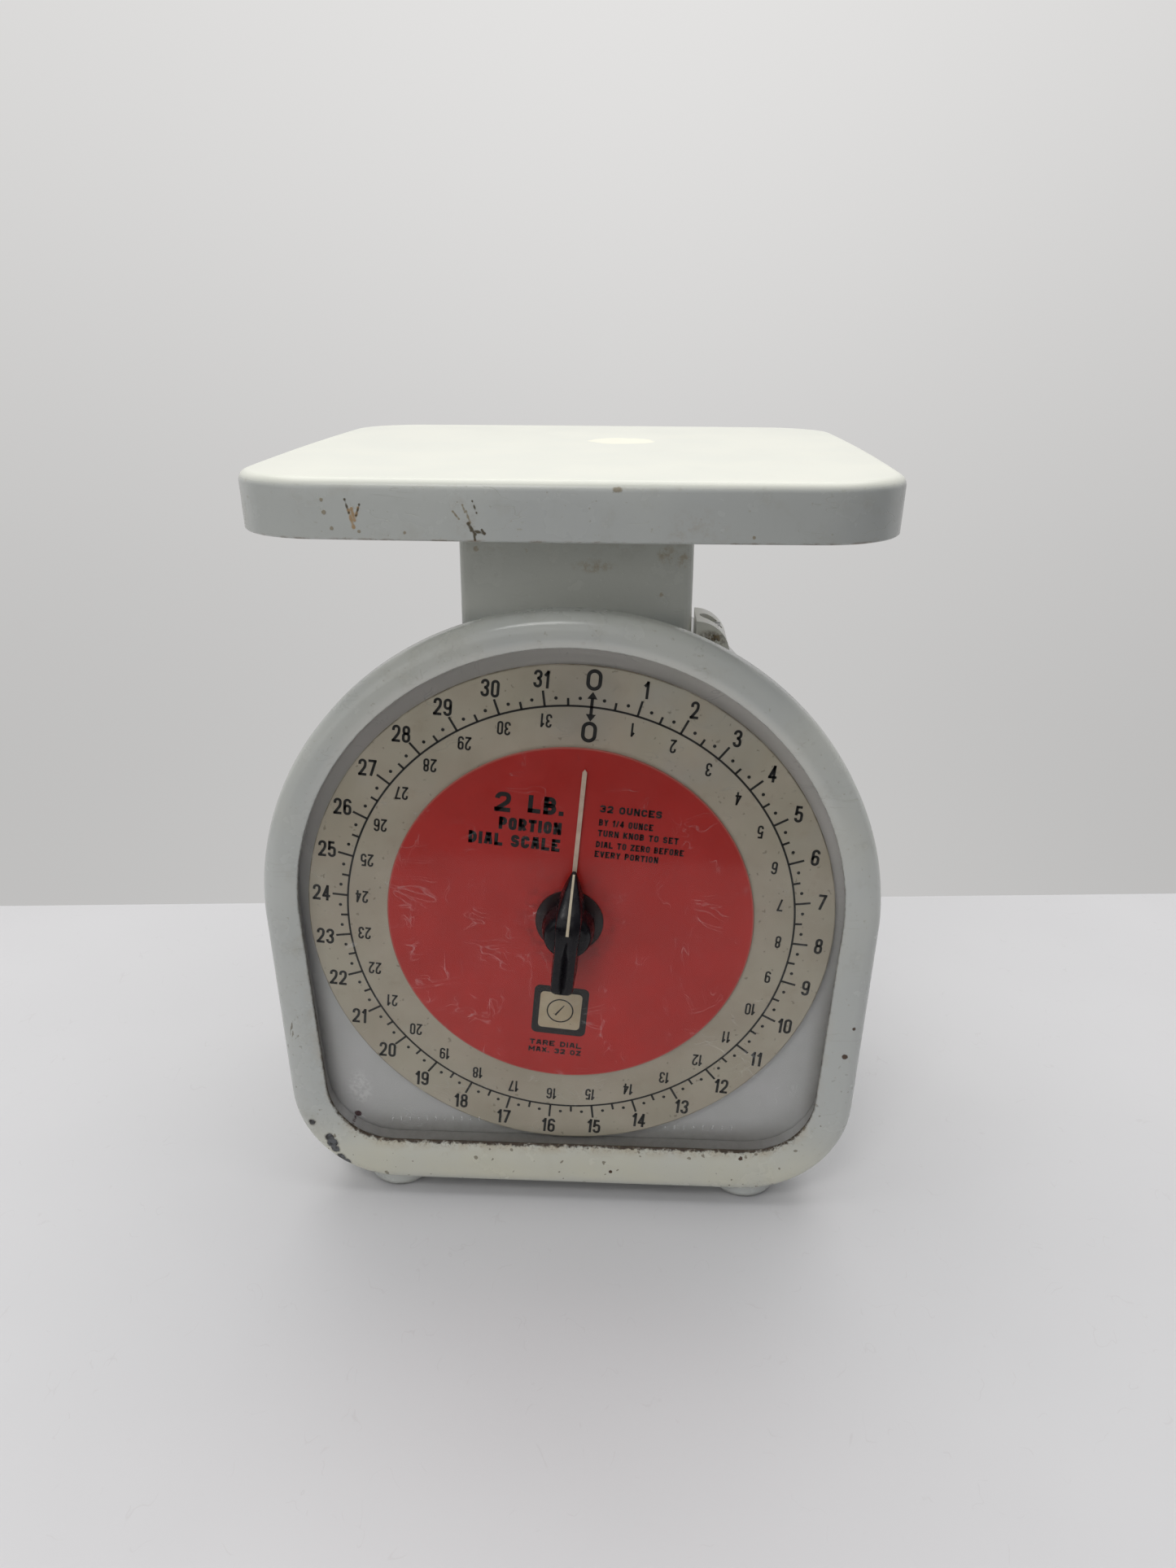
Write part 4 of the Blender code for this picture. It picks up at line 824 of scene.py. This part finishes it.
def housing_shell():
    """Deep rounded shell with the zero-screw boss, column opening and foot screw holes."""
    front, back = SHELL_Y
    draft, wall, rounding = 8.5, 2.0, 5.0

    def outline(inset, taper):
        return arch(**dict(SHELL, bottom=SHELL["bottom"] - taper), inset=inset + taper)
    loops = [at_y(outline(wall, draft), back - wall), at_y(outline(wall, 0.0), front),
             at_y(outline(0.15, 0.0), front), at_y(outline(0.0, 0.0), front + 0.15)]
    straight = back - rounding - front
    loops += [at_y(outline(0.0, draft * k / 6), front + straight * k / 6) for k in range(1, 7)]
    loops += [at_y(outline(side, draft), back - down) for side, down in quarter(rounding, 8)[1:]]
    left, right, low = 30.2, 38.8, 145.6
    rise = right - left
    round_top = [(left + rise * cos(pi / 2 * k / 16), low + rise * sin(pi / 2 * k / 16)) for k in range(17)]
    boss = prism([(left, low - 5.0), (right, low - 5.0)] + round_top, "Y", -29.0, -13.0)
    screw_x, screw_y = (sum(span("zero_screw", axis)) / 2 for axis in "XY")
    opening = prism(rounded_square(29.8, 2.8, 10, 0.0, 2), "Z", 120.0, 180.0)
    floor_hole = prism([(-42, -46), (42, -46), (42, 41), (-42, 41)], "Z", 0.0, 20.0)
    cuts = [opening, floor_hole, rod(1.9, (screw_x, screw_y), "Z", 130.0, 160.0),
            rod(2.9, (screw_x, screw_y), "Z", 149.0, 160.0)]
    cuts += [rod(1.9, (sx * FOOT_X, y), "Z", 0.0, 12.0, 24) for sx in (-1, 1) for y in FOOT_Y.values()]
    bm = carved(loft(loops), [("UNION", boss)] + [("DIFFERENCE", cut) for cut in cuts])
    return piece("shell", bm, BODY_PAINT, "base", ["housing_shell"])


def platform():
    """Pan with bowed sides, rounded top edge, rolled lower lip, column socket and screw bosses."""
    half, bow, corner, wall, rounding = 72.4, 1.6, 19.0, 2.0, 2.4

    def outline(inset):
        return rounded_square(half - inset, corner - inset, 16, bow, 24)
    under = PLATFORM_TOP - wall
    loops = [at_z(outline(wall), under), at_z(outline(wall + 0.4), SKIRT_BOTTOM + 0.3),
             at_z(outline(wall + 0.1), SKIRT_BOTTOM), at_z(outline(0.7), SKIRT_BOTTOM),
             at_z(outline(0.4), SKIRT_BOTTOM + 0.3)]
    straight = PLATFORM_TOP - rounding - SKIRT_BOTTOM
    loops += [at_z(outline(0.4 * (1 - k / 4)), SKIRT_BOTTOM + straight * k / 4) for k in range(1, 5)]
    loops += [at_z(outline(side), PLATFORM_TOP - down) for side, down in quarter(rounding, 10)[1:]]
    bm = loft(loops)
    socket = [rounded_square(31.0, 4.0, 8, 0.0, 2), rounded_square(29.3, 2.3, 8, 0.0, 2)]
    ring = loft([at_z(socket[0], under - 3.5), at_z(socket[0], under + 0.5),
                 at_z(socket[1], under + 0.5), at_z(socket[1], under - 3.5)], closed=True)
    shapes = [("UNION", ring)]
    for sx in (-1, 1):
        for y in (-8.0, 10.0):
            tube = turned([(1.5, under - 3.6), (3.6, under - 3.6), (3.6, under + 0.5), (1.5, under + 0.5)],
                          (sx * 14.0, y), "Z", 32)
            shapes.append(("UNION", tube))
    return piece("pan", carved(bm, shapes), PAN_PAINT, "load_carrier", ["platform"])


def lens():
    """Clear window with broken edges, a raised round boss and a spindle hole."""
    front, back = LENS_Y
    inset = GAP - RABBET
    loops = [at_y(arch(**WINDOW, inset=inset), back), at_y(arch(**WINDOW, inset=inset), front + 0.2),
             at_y(arch(**WINDOW, inset=inset + 0.2), front)]
    boss = turned([(0, LENS_FRONT), (9.4, LENS_FRONT), (9.9, LENS_FRONT + 0.12), (10.3, LENS_FRONT + 0.4),
                   (10.5, front - 0.05), (10.5, front + 0.5), (0, front + 0.5)], (0, DIAL_Z), "Y", 96)
    hole = rod(2.5, (0, DIAL_Z), "Y", -65.0, -50.0)
    bm = carved(loft(loops), [("UNION", boss), ("DIFFERENCE", hole)])
    return piece("window", bm, CLEAR, "base", ["lens"])


def moulded_dashes():
    """Small raised strokes in the window's lower corners, in place of moulded lettering."""
    front = LENS_Y[0]
    parts = []
    for start, stop, z, tilt in ((-47.4, -24.1, 24.2, 0.9), (25.5, 43.1, 24.2, 0.7)):
        count = 11 if start < 0 else 8
        for k in range(count):
            share = k / (count - 1)
            x = start + (stop - start) * share
            height = z + tilt * share
            long_side = 0.62 if k % 3 else 0.4
            corners = [(x - 0.16, height - long_side), (x + 0.16, height - long_side),
                       (x + 0.16, height + long_side), (x - 0.16, height + long_side)]
            top = [between(corner, (x, height), 0.35) for corner in corners]
            sections = ((corners, front + 0.05), (corners, front - 0.05), (top, front - 0.2))
            parts.append(loft([at_y(*section) for section in sections]))
    return piece("window_marks", join(parts), CLEAR, "base")


def feet():
    for side, sx in (("left", -1), ("right", 1)):
        for depth, y in FOOT_Y.items():
            node = f"foot_{depth}_{side}"
            radius, height, rounding = 8.8, 4.6, 2.5
            profile = [(0.0, 0.0)] + [(radius - down, side) for side, down in quarter(rounding, 8)]
            profile += [(radius, height - 0.3), (radius - 0.3, height), (1.9, height), (1.9, 1.4), (0.0, 1.4)]
            bm = turned(profile, (sx * FOOT_X, y), "Z", 72)
            piece(f"domed_{node}", bm, BODY_PAINT, "base", [node])


# ---------------------------------------------------------------- dial pieces

def dial_discs():
    for name, radius, depths, look, node, slot in (
            ("numbered_disc", DIAL_RADIUS, DIAL_Y, DIAL_PLASTIC, "number_dial", "dial_plastic"),
            ("red_centre", RED_RADIUS, RED_Y, RED, "red_disc", "red_dial"),
            ("hub_disc", 8.5, HUB_Y, HUB, "tare_hub", "black_plastic")):
        piece(name, disc_plate(radius, *depths), look, "tare_dial", [node])


def knob():
    """Pointer knob: round body, long grooved bar below and a wedge nose that runs down to the dial's zero."""
    base = [(0, KNOB_BACK), (6.6, KNOB_BACK), (6.5, -61.6), (6.25, -63.2), (6.0, -64.6), (5.75, -65.4),
            (5.45, -65.9), (4.9, -66.25), (4.2, -66.4), (0, -66.4)]
    body = turned(base, (0, DIAL_Z), "Y", 96)
    stations = [(-14.2, 1.6, -60.6, -68.5), (-14.0, 2.15, -60.4, -69.1), (-13.4, 2.6, -60.3, -69.6),
                (-12.5, 2.78, -60.2, -69.9), (-11.5, 2.8, -60.2, KNOB_FRONT), (-8.0, 2.77, -60.2, KNOB_FRONT),
                (-4.0, 2.72, -60.2, KNOB_FRONT), (0.0, 2.85, -60.2, -69.95), (2.2, 3.05, -60.2, -69.85),
                (4.0, 3.1, -60.2, -69.7), (5.4, 3.08, -60.2, -69.4), (6.5, 3.0, -60.2, -68.9),
                (8.0, 2.72, -60.2, -67.7), (10.0, 2.2, -60.2, -65.9), (12.0, 1.6, -60.2, -64.0),
                (13.5, 1.1, -60.2, -62.6), (14.8, 0.6, -60.2, -61.4), (15.4, 0.3, -60.2, -60.8)]
    loops = []
    for along, half, low, high in stations:
        crown = min(0.9, (low - high) / 2)
        side = [(half * 1.15, low), (half * 1.05, (low + high) / 2), (half, high + crown),
                (half * 0.93, high + 0.35 * crown), (half * 0.76, high + 0.06 * crown)]
        groove = 0.0
        if -13.6 < along < 1.0:
            groove = 0.9
        middle = [(half * 0.34, high), (0.0, high + groove)]
        right = side + middle[:1]
        section = [(-across, y) for across, y in right] + middle[1:] + right[::-1]
        spots = dial_turned([(across, along) for across, _ in section])
        loops.append([(x, y, z) for (x, z), (_, y) in zip(spots, section)])
    bore = rod(HUB_HOLE, (0, DIAL_Z), "Y", -66.3, -50.0)
    bm = carved(body, [("UNION", loft(loops)), ("DIFFERENCE", bore)])
    piece("pointer_knob", bm, BLACK, "tare_dial", ["tare_knob"], sharp=radians(38))
    line = [(15.0, -61.25), (13.5, -62.68), (12.0, -64.08), (10.0, -65.98), (8.0, -67.78), (6.5, -68.98),
            (5.4, -69.48), (4.0, -69.78), (2.6, -69.9)]
    sections = []
    for along, y in line:
        half = 0.27 + 0.09 * (15.0 - along) / 12.4
        (ax, az), (bx, bz) = dial_turned([(-half, along), (half, along)])
        sections.append([(ax, y, az), (bx, y, bz), (bx, y + 0.3, bz), (ax, y + 0.3, az)])
    piece("knob_index_line", loft(sections), CREAM, "tare_dial")


# ---------------------------------------------------------------- printing on the dial

FILM = 0.03                    # thickness of printed ink


def film(outline, back):
    """Thin closed film of ink on a face that looks forward; the outline is drawn about the dial axis."""
    return prism(dial_turned(outline), "Y", back, back - FILM)


def printed(name, films):
    piece(name, join(films), INK, "tare_dial")


def stroke_film(sides, closed, back):
    """Film swept along a stroke given as pairs of opposite edge points."""
    sections = []
    for pair in sides:
        (ax, az), (bx, bz) = dial_turned(pair)
        sections.append([(ax, back, az), (bx, back, bz), (bx, back - FILM, bz), (ax, back - FILM, az)])
    return loft(sections, closed)


def ring_film(radius, width, back, centre=(0.0, 0.0), count=360):
    inner, outer = (circle(*centre, radius + side, count) for side in (-width / 2, width / 2))
    return stroke_film(list(zip(inner, outer)), True, back)


def radial(angle, r, across=0.0):
    """Point at radius r and sideways offset, angle clockwise from the dial's zero."""
    return (r * sin(angle) + across * cos(angle), r * cos(angle) - across * sin(angle))


def scale_marks():
    """Circle, ounce ticks, half-ounce ticks, quarter-ounce dots and the double arrow at zero."""
    circle_radius, half = 56.0, 0.28
    shapes = []
    for quarter in range(1, 128):
        angle = 2 * pi * quarter / 128
        if quarter % 2:
            shapes.append(circle(*radial(angle, 57.9), 0.42, 16))
            continue
        end = 59.9 if quarter % 4 == 0 else 57.9
        shapes.append([radial(angle, circle_radius, -half), radial(angle, circle_radius, half),
                       radial(angle, end, half), radial(angle, end, -half)])
    shapes.append([(-0.38, 54.0), (0.38, 54.0), (0.38, 58.2), (-0.38, 58.2)])
    for tip, base in ((59.75, 57.95), (52.4, 54.2)):
        shapes.append([(-1.2, base), (1.2, base), (0.0, tip)])
    films = [film(shape, DIAL_Y[0]) for shape in shapes] + [ring_film(circle_radius, 0.5, DIAL_Y[0])]
    printed("scale_marks", films)


STEM = [(0, 0), (0, 1)]


def bowl(low, high, left_round, right_round, left=0, right=1):
    """Closed stroke round a box, with the roundness of its left and of its right corners."""
    return ["loop", (left, low, left_round), (right, low, right_round), (right, high, right_round),
            (left, high, left_round)]


# Strokes of each character in a unit box: x, y and, where the corner is round, how round (1 is full)
GLYPHS = {
    "0": [bowl(0, 1, 1, 1)],
    "1": [[(0, 0.78), (1, 1), (1, 0)]],
    "2": [[(0, 0.7), (0, 1, 1), (1, 1, 1), (1, 0.56, 0.8), (0, 0), (1, 0)]],
    "3": [[(0, 0.76), (0, 1, 1), (1, 1, 1), (1, 0.53, 1), (0.35, 0.53)],
          [(0.35, 0.53), (1, 0.53, 1), (1, 0, 1), (0, 0, 1), (0, 0.24)]],
    "4": [[(0.72, 0), (0.72, 1), (0, 0.27), (1, 0.27)]],
    "5": [[(0.95, 1), (0.04, 1), (0, 0.5), (0.1, 0.62, 0.5), (1, 0.62, 1), (1, 0, 1), (0, 0, 1),
           (0, 0.22)]],
    "6": [bowl(0, 0.58, 1, 1), [(0, 0.3), (0, 1, 1), (1, 1, 1), (1, 0.8)]],
    "7": [[(0, 1), (1, 1), (0.3, 0)]],
    "8": [bowl(0, 0.54, 1, 1), bowl(0.54, 1, 1, 1, 0.06, 0.94)],
    "9": [bowl(0.42, 1, 1, 1), [(1, 0.7), (1, 0, 1), (0, 0, 1), (0, 0.2)]],
    "A": [[(0, 0), (0.3, 1), (0.7, 1), (1, 0)], [(0.1, 0.32), (0.9, 0.32)]],
    "B": [bowl(0, 0.52, 0, 1), bowl(0.52, 1, 0, 1, 0, 0.93)],
    "C": [[(1, 0.68), (1, 1, 0.9), (0, 1, 0.9), (0, 0, 0.9), (1, 0, 0.9), (1, 0.32)]],
    "D": [bowl(0, 1, 0, 0.9)],
    "E": [[(1, 1), (0, 1), (0, 0), (1, 0)], [(0, 0.5), (0.85, 0.5)]],
    "F": [[(1, 1), (0, 1), (0, 0)], [(0, 0.5), (0.85, 0.5)]],
    "I": [STEM],
    "K": [STEM, [(1, 1), (0.1, 0.45)], [(0.3, 0.6), (1, 0)]],
    "L": [[(0, 1), (0, 0), (1, 0)]],
    "M": [[(0, 0), (0, 1), (0.5, 0.35), (1, 1), (1, 0)]],
    "N": [[(0, 0), (0, 1), (1, 0), (1, 1)]],
    "O": [bowl(0, 1, 0.9, 0.9)],
    "P": [bowl(0.44, 1, 0, 0.9), STEM],
    "R": [bowl(0.46, 1, 0, 0.9), STEM, [(0.45, 0.46), (1, 0)]],
    "S": [[(1, 0.74), (1, 1, 0.9), (0, 1, 0.9), (0, 0.52, 0.9), (1, 0.52, 0.9), (1, 0, 0.9), (0, 0, 0.9),
           (0, 0.26)]],
    "T": [[(0, 1), (1, 1)], [(0.5, 1), (0.5, 0)]],
    "U": [[(0, 1), (0, 0, 0.9), (1, 0, 0.9), (1, 1)]],
    "V": [[(0, 1), (0.5, 0), (1, 1)]],
    "X": [[(0, 0), (1, 1)], [(0, 1), (1, 0)]],
    "Y": [[(0, 1), (0.5, 0.48), (1, 1)], [(0.5, 0.5), (0.5, 0)]],
    "Z": [[(0, 1), (1, 1), (0, 0), (1, 0)]],
    "/": [[(0, 0), (1, 1)]],
    ".": [[(0, 0), (0, 0.17)]],
    " ": [],
}
GLYPH_WIDTH = {"1": 0.62, "M": 1.3, "/": 0.7, " ": 0.55, "I": 0.0, ".": 0.0}


def runs_of(stroke):
    """Stroke cut at its sharp corners: points, whether it is a loop, and which ends are corners."""
    closed = stroke[0] == "loop"
    points = [(*point, 0)[:3] for point in (stroke[1:] if closed else stroke)]
    sharp = [i for i, point in enumerate(points) if not point[2]]
    if not sharp:
        return [(points, True, False, False)]
    if closed:
        points = points[sharp[0]:] + points[:sharp[0] + 1]
        sharp = [i for i, point in enumerate(points) if not point[2]]
    last = len(sharp) - 2
    return [(points[a:b + 1], False, closed or k > 0, closed or k < last)
            for k, (a, b) in enumerate(zip(sharp, sharp[1:]))]


def overrun(end, inner, corner, half):
    """How far a stroke runs past its last point, so that corners and letter edges are filled."""
    steps = (end[0] - inner[0], end[1] - inner[1])
    at_edge = any(step and place == (1 if step > 0 else 0) for place, step in zip(end, steps))
    if not (corner or at_edge):
        return 0.0
    return half if min(abs(step) for step in steps) < 0.1 else 0.7 * half


def run_on(end, inner, length):
    direction = (Vector(end) - Vector(inner)).normalized()
    return tuple(Vector(end) + direction * length)


def rounded_path(points, closed):
    """Stroke centreline with its rounded corners drawn as arcs."""
    path = []
    count = len(points)
    for i, (x, y, roundness) in enumerate(points):
        if not roundness or (not closed and i in (0, count - 1)):
            path.append((x, y))
            continue
        before, after = points[i - 1], points[(i + 1) % count]
        reach = []
        for end in (before, after):
            length = (Vector(end[:2]) - Vector((x, y))).length
            reach.append(length / (2 if end[2] else 1))
        back, ahead = (Vector(end[:2]) - Vector((x, y)) for end in (before, after))
        half = back.angle(ahead) / 2
        radius = roundness * min(reach) * sin(half) / cos(half)
        path += fillet(before[:2], (x, y), after[:2], radius, 8)
    return [p for i, p in enumerate(path)
            if (Vector(p) - Vector(path[i - 1])).length > 1e-4 or not (closed or i)]


def edges_of(path, half, closed):
    """Pairs of points on the two edges of a stroke, mitred at the corners."""
    count = len(path)
    sides = []
    for i, point in enumerate(path):
        here = Vector(point)
        runs = []
        if closed or i:
            runs.append((here - Vector(path[i - 1])).normalized())
        if closed or i < count - 1:
            runs.append((Vector(path[(i + 1) % count]) - here).normalized())
        mean = sum(runs, Vector((0, 0))).normalized()
        across = Vector((-mean.y, mean.x)) * half * min(1 / max(mean.dot(runs[0]), 0.3), 1.5)
        sides.append((tuple(here + across), tuple(here - across)))
    return sides


def lettering(text, left, low, width, height, weight, back, gap=0.22, upside_down=False):
    """Films of a line of stroked letters that fills a box about the dial axis."""
    shares = [GLYPH_WIDTH.get(letter, 1.0) for letter in text]
    narrow = sum(1 for letter in text if letter in "I.")
    unit = (width - narrow * weight) / (sum(shares) + gap * (len(text) - 1))
    films = []
    start = left
    for letter, share in zip(text, shares):
        wide = unit * share + (weight if letter in "I." else 0.0)
        for run, closed, first, last in [run for stroke in GLYPHS[letter] for run in runs_of(stroke)]:
            points = [(start + weight / 2 + x * (wide - weight), low + weight / 2 + y * (height - weight), r)
                      for x, y, r in run]
            if upside_down:
                points = [(2 * left + width - x, 2 * low + height - y, r) for x, y, r in points]
            path = rounded_path(points, closed)
            if not closed:
                path[0] = run_on(path[0], path[1], overrun(run[0], run[1], first, weight / 2))
                path[-1] = run_on(path[-1], path[-2], overrun(run[-1], run[-2], last, weight / 2))
            films.append(stroke_film(edges_of(path, weight / 2, closed), closed, back))
        start += wide + unit * gap
    return films


def numeral(number, radius, angle, height, digit_width, weight, upside_down=False):
    """Condensed upright number centred at a place on the dial."""
    text = str(number)
    gap = 0.2
    width = digit_width * (sum(GLYPH_WIDTH.get(d, 1.0) for d in text) + gap * (len(text) - 1))
    x, z = radial(angle, radius)
    return lettering(text, x - width / 2, z - height / 2, width, height, weight, DIAL_Y[0], gap, upside_down)


def numerals():
    outer, inner = [], []
    for n in range(1, 32):
        angle = 2 * pi * n / 32
        outer += numeral(n, 62.7, angle, 4.3, 2.0, 0.66)
        inner += numeral(n, 52.5, angle, 3.4, 1.45, 0.48, True)
    zeros = [lettering("0", -1.84, low, 3.68, 5.2, 0.88, DIAL_Y[0]) for low in (60.0, 47.2)]
    for name, films in (("outer", outer), ("inner", inner), ("zero", sum(zeros, []))):
        printed(f"{name}_numerals", films)


def wording():
    """Generic wording on the red centre: capacity at left, how to use it at right, two lines below."""
    lines = [("2", -20.9, 27.5, 3.9, 5.2, 1.15), ("LB.", -12.8, 28.0, 8.7, 4.6, 1.15),
             ("PORTION", -19.5, 22.95, 15.3, 3.25, 0.9), ("DIAL SCALE", -26.65, 18.45, 22.45, 3.3, 0.9),
             ("32 OUNCES", 4.55, 30.1, 15.0, 1.9, 0.5), ("BY 1/4 OUNCE", 4.65, 26.6, 13.2, 1.75, 0.42),
             ("TURN KNOB TO SET", 4.65, 23.8, 19.7, 1.7, 0.42),
             ("DIAL TO ZERO BEFORE", 4.5, 20.8, 21.5, 1.7, 0.42),
             ("EVERY PORTION", 4.45, 18.2, 15.6, 1.7, 0.42),
             ("TARE DIAL", -7.1, -37.2, 13.6, 1.6, 0.42), ("MAX. 32 OZ", -7.25, -39.35, 13.8, 1.55, 0.42)]
    films = []
    for text, left, low, width, height, weight in lines:
        films += lettering(text, left, low, width, height, weight, RED_Y[0])
    printed("dial_wording", films)


def emblem():
    """Plain badge under the knob: black rounded square, cream panel, and a little clock-like ring."""
    centre = (0.0, -26.3)

    def panel(half_x, half_z, corner):
        square = [(centre[0] + sx * half_x, centre[1] + sz * half_z)
                  for sx, sz in ((-1, -1), (1, -1), (1, 1), (-1, 1))]
        outline = []
        for i, point in enumerate(square):
            outline += fillet(square[i - 1], point, square[(i + 1) % 4], corner, 8)
        return outline
    back = RED_Y[0]
    printed("badge", [film(panel(7.05, 7.1, 1.5), back)])
    piece("badge_panel", film(panel(5.4, 5.3, 1.1), back - FILM), CREAM, "tare_dial")
    hand = [(-0.95, -27.85), (-1.35, -27.55), (0.85, -24.55), (1.05, -24.7)]
    marks = [ring_film(3.3, 0.35, back - 2 * FILM, centre, 72), film(hand, back - 2 * FILM)]
    printed("badge_marks", marks)


front_bezel()
housing_shell()
platform()
lens()
moulded_dashes()
feet()
dial_discs()
knob()
scale_marks()
numerals()
wording()
emblem()


# ---------------------------------------------------------------- carried-over CAD nodes

CARRIED = {
    "column": BODY_PAINT, "lens_spacer": SILVER, "face_plate": SILVER, "tare_spindle": BLACK,
    "tare_needle": NEEDLE, "load_pointer": POINTER, "rack": BRASS, "front_bush": BRASS, "rear_bush": BRASS,
    "zero_nut": BRASS, "main_spring_left": SPRING, "main_spring_right": SPRING, "zero_spring": SPRING,
    "dial_clip": SPRING,
}
for name, node in frame["nodes"].items():
    if node.hide_render:
        continue
    node.data.materials.clear()
    node.data.materials.append(CARRIED.get(name, ZINC))


# ---------------------------------------------------------------- floor, light, camera

def area_light(name, place_mm, aim_mm, size_mm, power, colour=(1, 1, 1)):
    data = bpy.data.lights.new(name, "AREA")
    data.shape = "RECTANGLE"
    data.size, data.size_y = (s * MM for s in size_mm)
    data.energy = power
    data.color = colour
    obj = placed(name, data)
    obj.location = Vector(place_mm) * MM
    direction = Vector(aim_mm) - Vector(place_mm)
    obj.rotation_euler = direction.to_track_quat("-Z", "Y").to_euler()


def floor():
    """Table top whose back edge runs a little askew behind the scale."""
    corners = [(-600, -280, 0), (600, -276, 0), (600, 169.5, 0), (-600, 75.0, 0)]
    bm = bmesh.new()
    bm.faces.new([bm.verts.new(p) for p in corners])
    bmesh.ops.subdivide_edges(bm, edges=bm.edges, cuts=30, use_grid_fill=True)
    bmesh.ops.scale(bm, verts=bm.verts, vec=(MM, MM, MM))
    mesh = meshed("studio_floor", bm)
    mesh.materials.append(FLOOR)
    placed("studio_floor", mesh)


def world():
    """Pale surround: bright behind and above, darker in front below head height."""
    surround = bpy.data.worlds.new("studio")
    bpy.context.scene.world = surround
    surround.use_nodes = True
    tools = Nodes(surround.node_tree)
    direction = tools.add("ShaderNodeTexCoord", {}).outputs["Generated"]
    across, away, height = tools.add("ShaderNodeSeparateXYZ", {0: direction}).outputs
    wall = tools.times(tools.step(height, -0.35, 0.36, (0.56, 0.775)),
                       tools.step(across, -0.6, 0.0, (0.93, 1.02)), tools.step(across, 0.0, 0.6, (1.0, 0.87)))
    behind = tools.step(away, 0.0, 0.5)
    room = tools.step(height, -0.2, 0.9, (0.03, 0.34))
    background = tools.tree.nodes["Background"]
    tools.tree.links.new(tools.either(tools.times(wall, behind), room), background.inputs["Strength"])
    tools.tree.links.new(tools.mix(behind, (0.94, 0.97, 1.05), (1.0, 0.99, 0.98)), background.inputs["Color"])


def camera():
    """Seen from the front, a little above and right of the column, tilted down 21 degrees."""
    data = bpy.data.cameras.new("camera")
    data.sensor_width = 36.0
    data.lens = 27.03
    data.clip_start = 0.01
    data.clip_end = 20.0
    obj = placed("camera", data)
    turn = (Matrix.Rotation(radians(2.566), 4, "Z") @ Matrix.Rotation(radians(90 - 21.094), 4, "X")
            @ Matrix.Rotation(radians(0.270), 4, "Z"))
    obj.matrix_world = Matrix.Translation(Vector((16.24, -318.75, 221.98)) * MM) @ turn
    bpy.context.scene.camera = obj


floor()
world()
area_light("overhead", (0, 120, 950), (0, 30, 0), (1100, 900), 5.9, (1.0, 0.99, 0.965))
area_light("key", (-150, -650, 800), (0, -50, 90), (260, 200), 1.2, (1.0, 0.99, 0.97))
area_light("front_fill", (-300, -700, 310), (-20, -50, 110), (800, 460), 0.88, (1.0, 0.99, 0.97))
camera()
bpy.context.scene.view_settings.view_transform = "Standard"
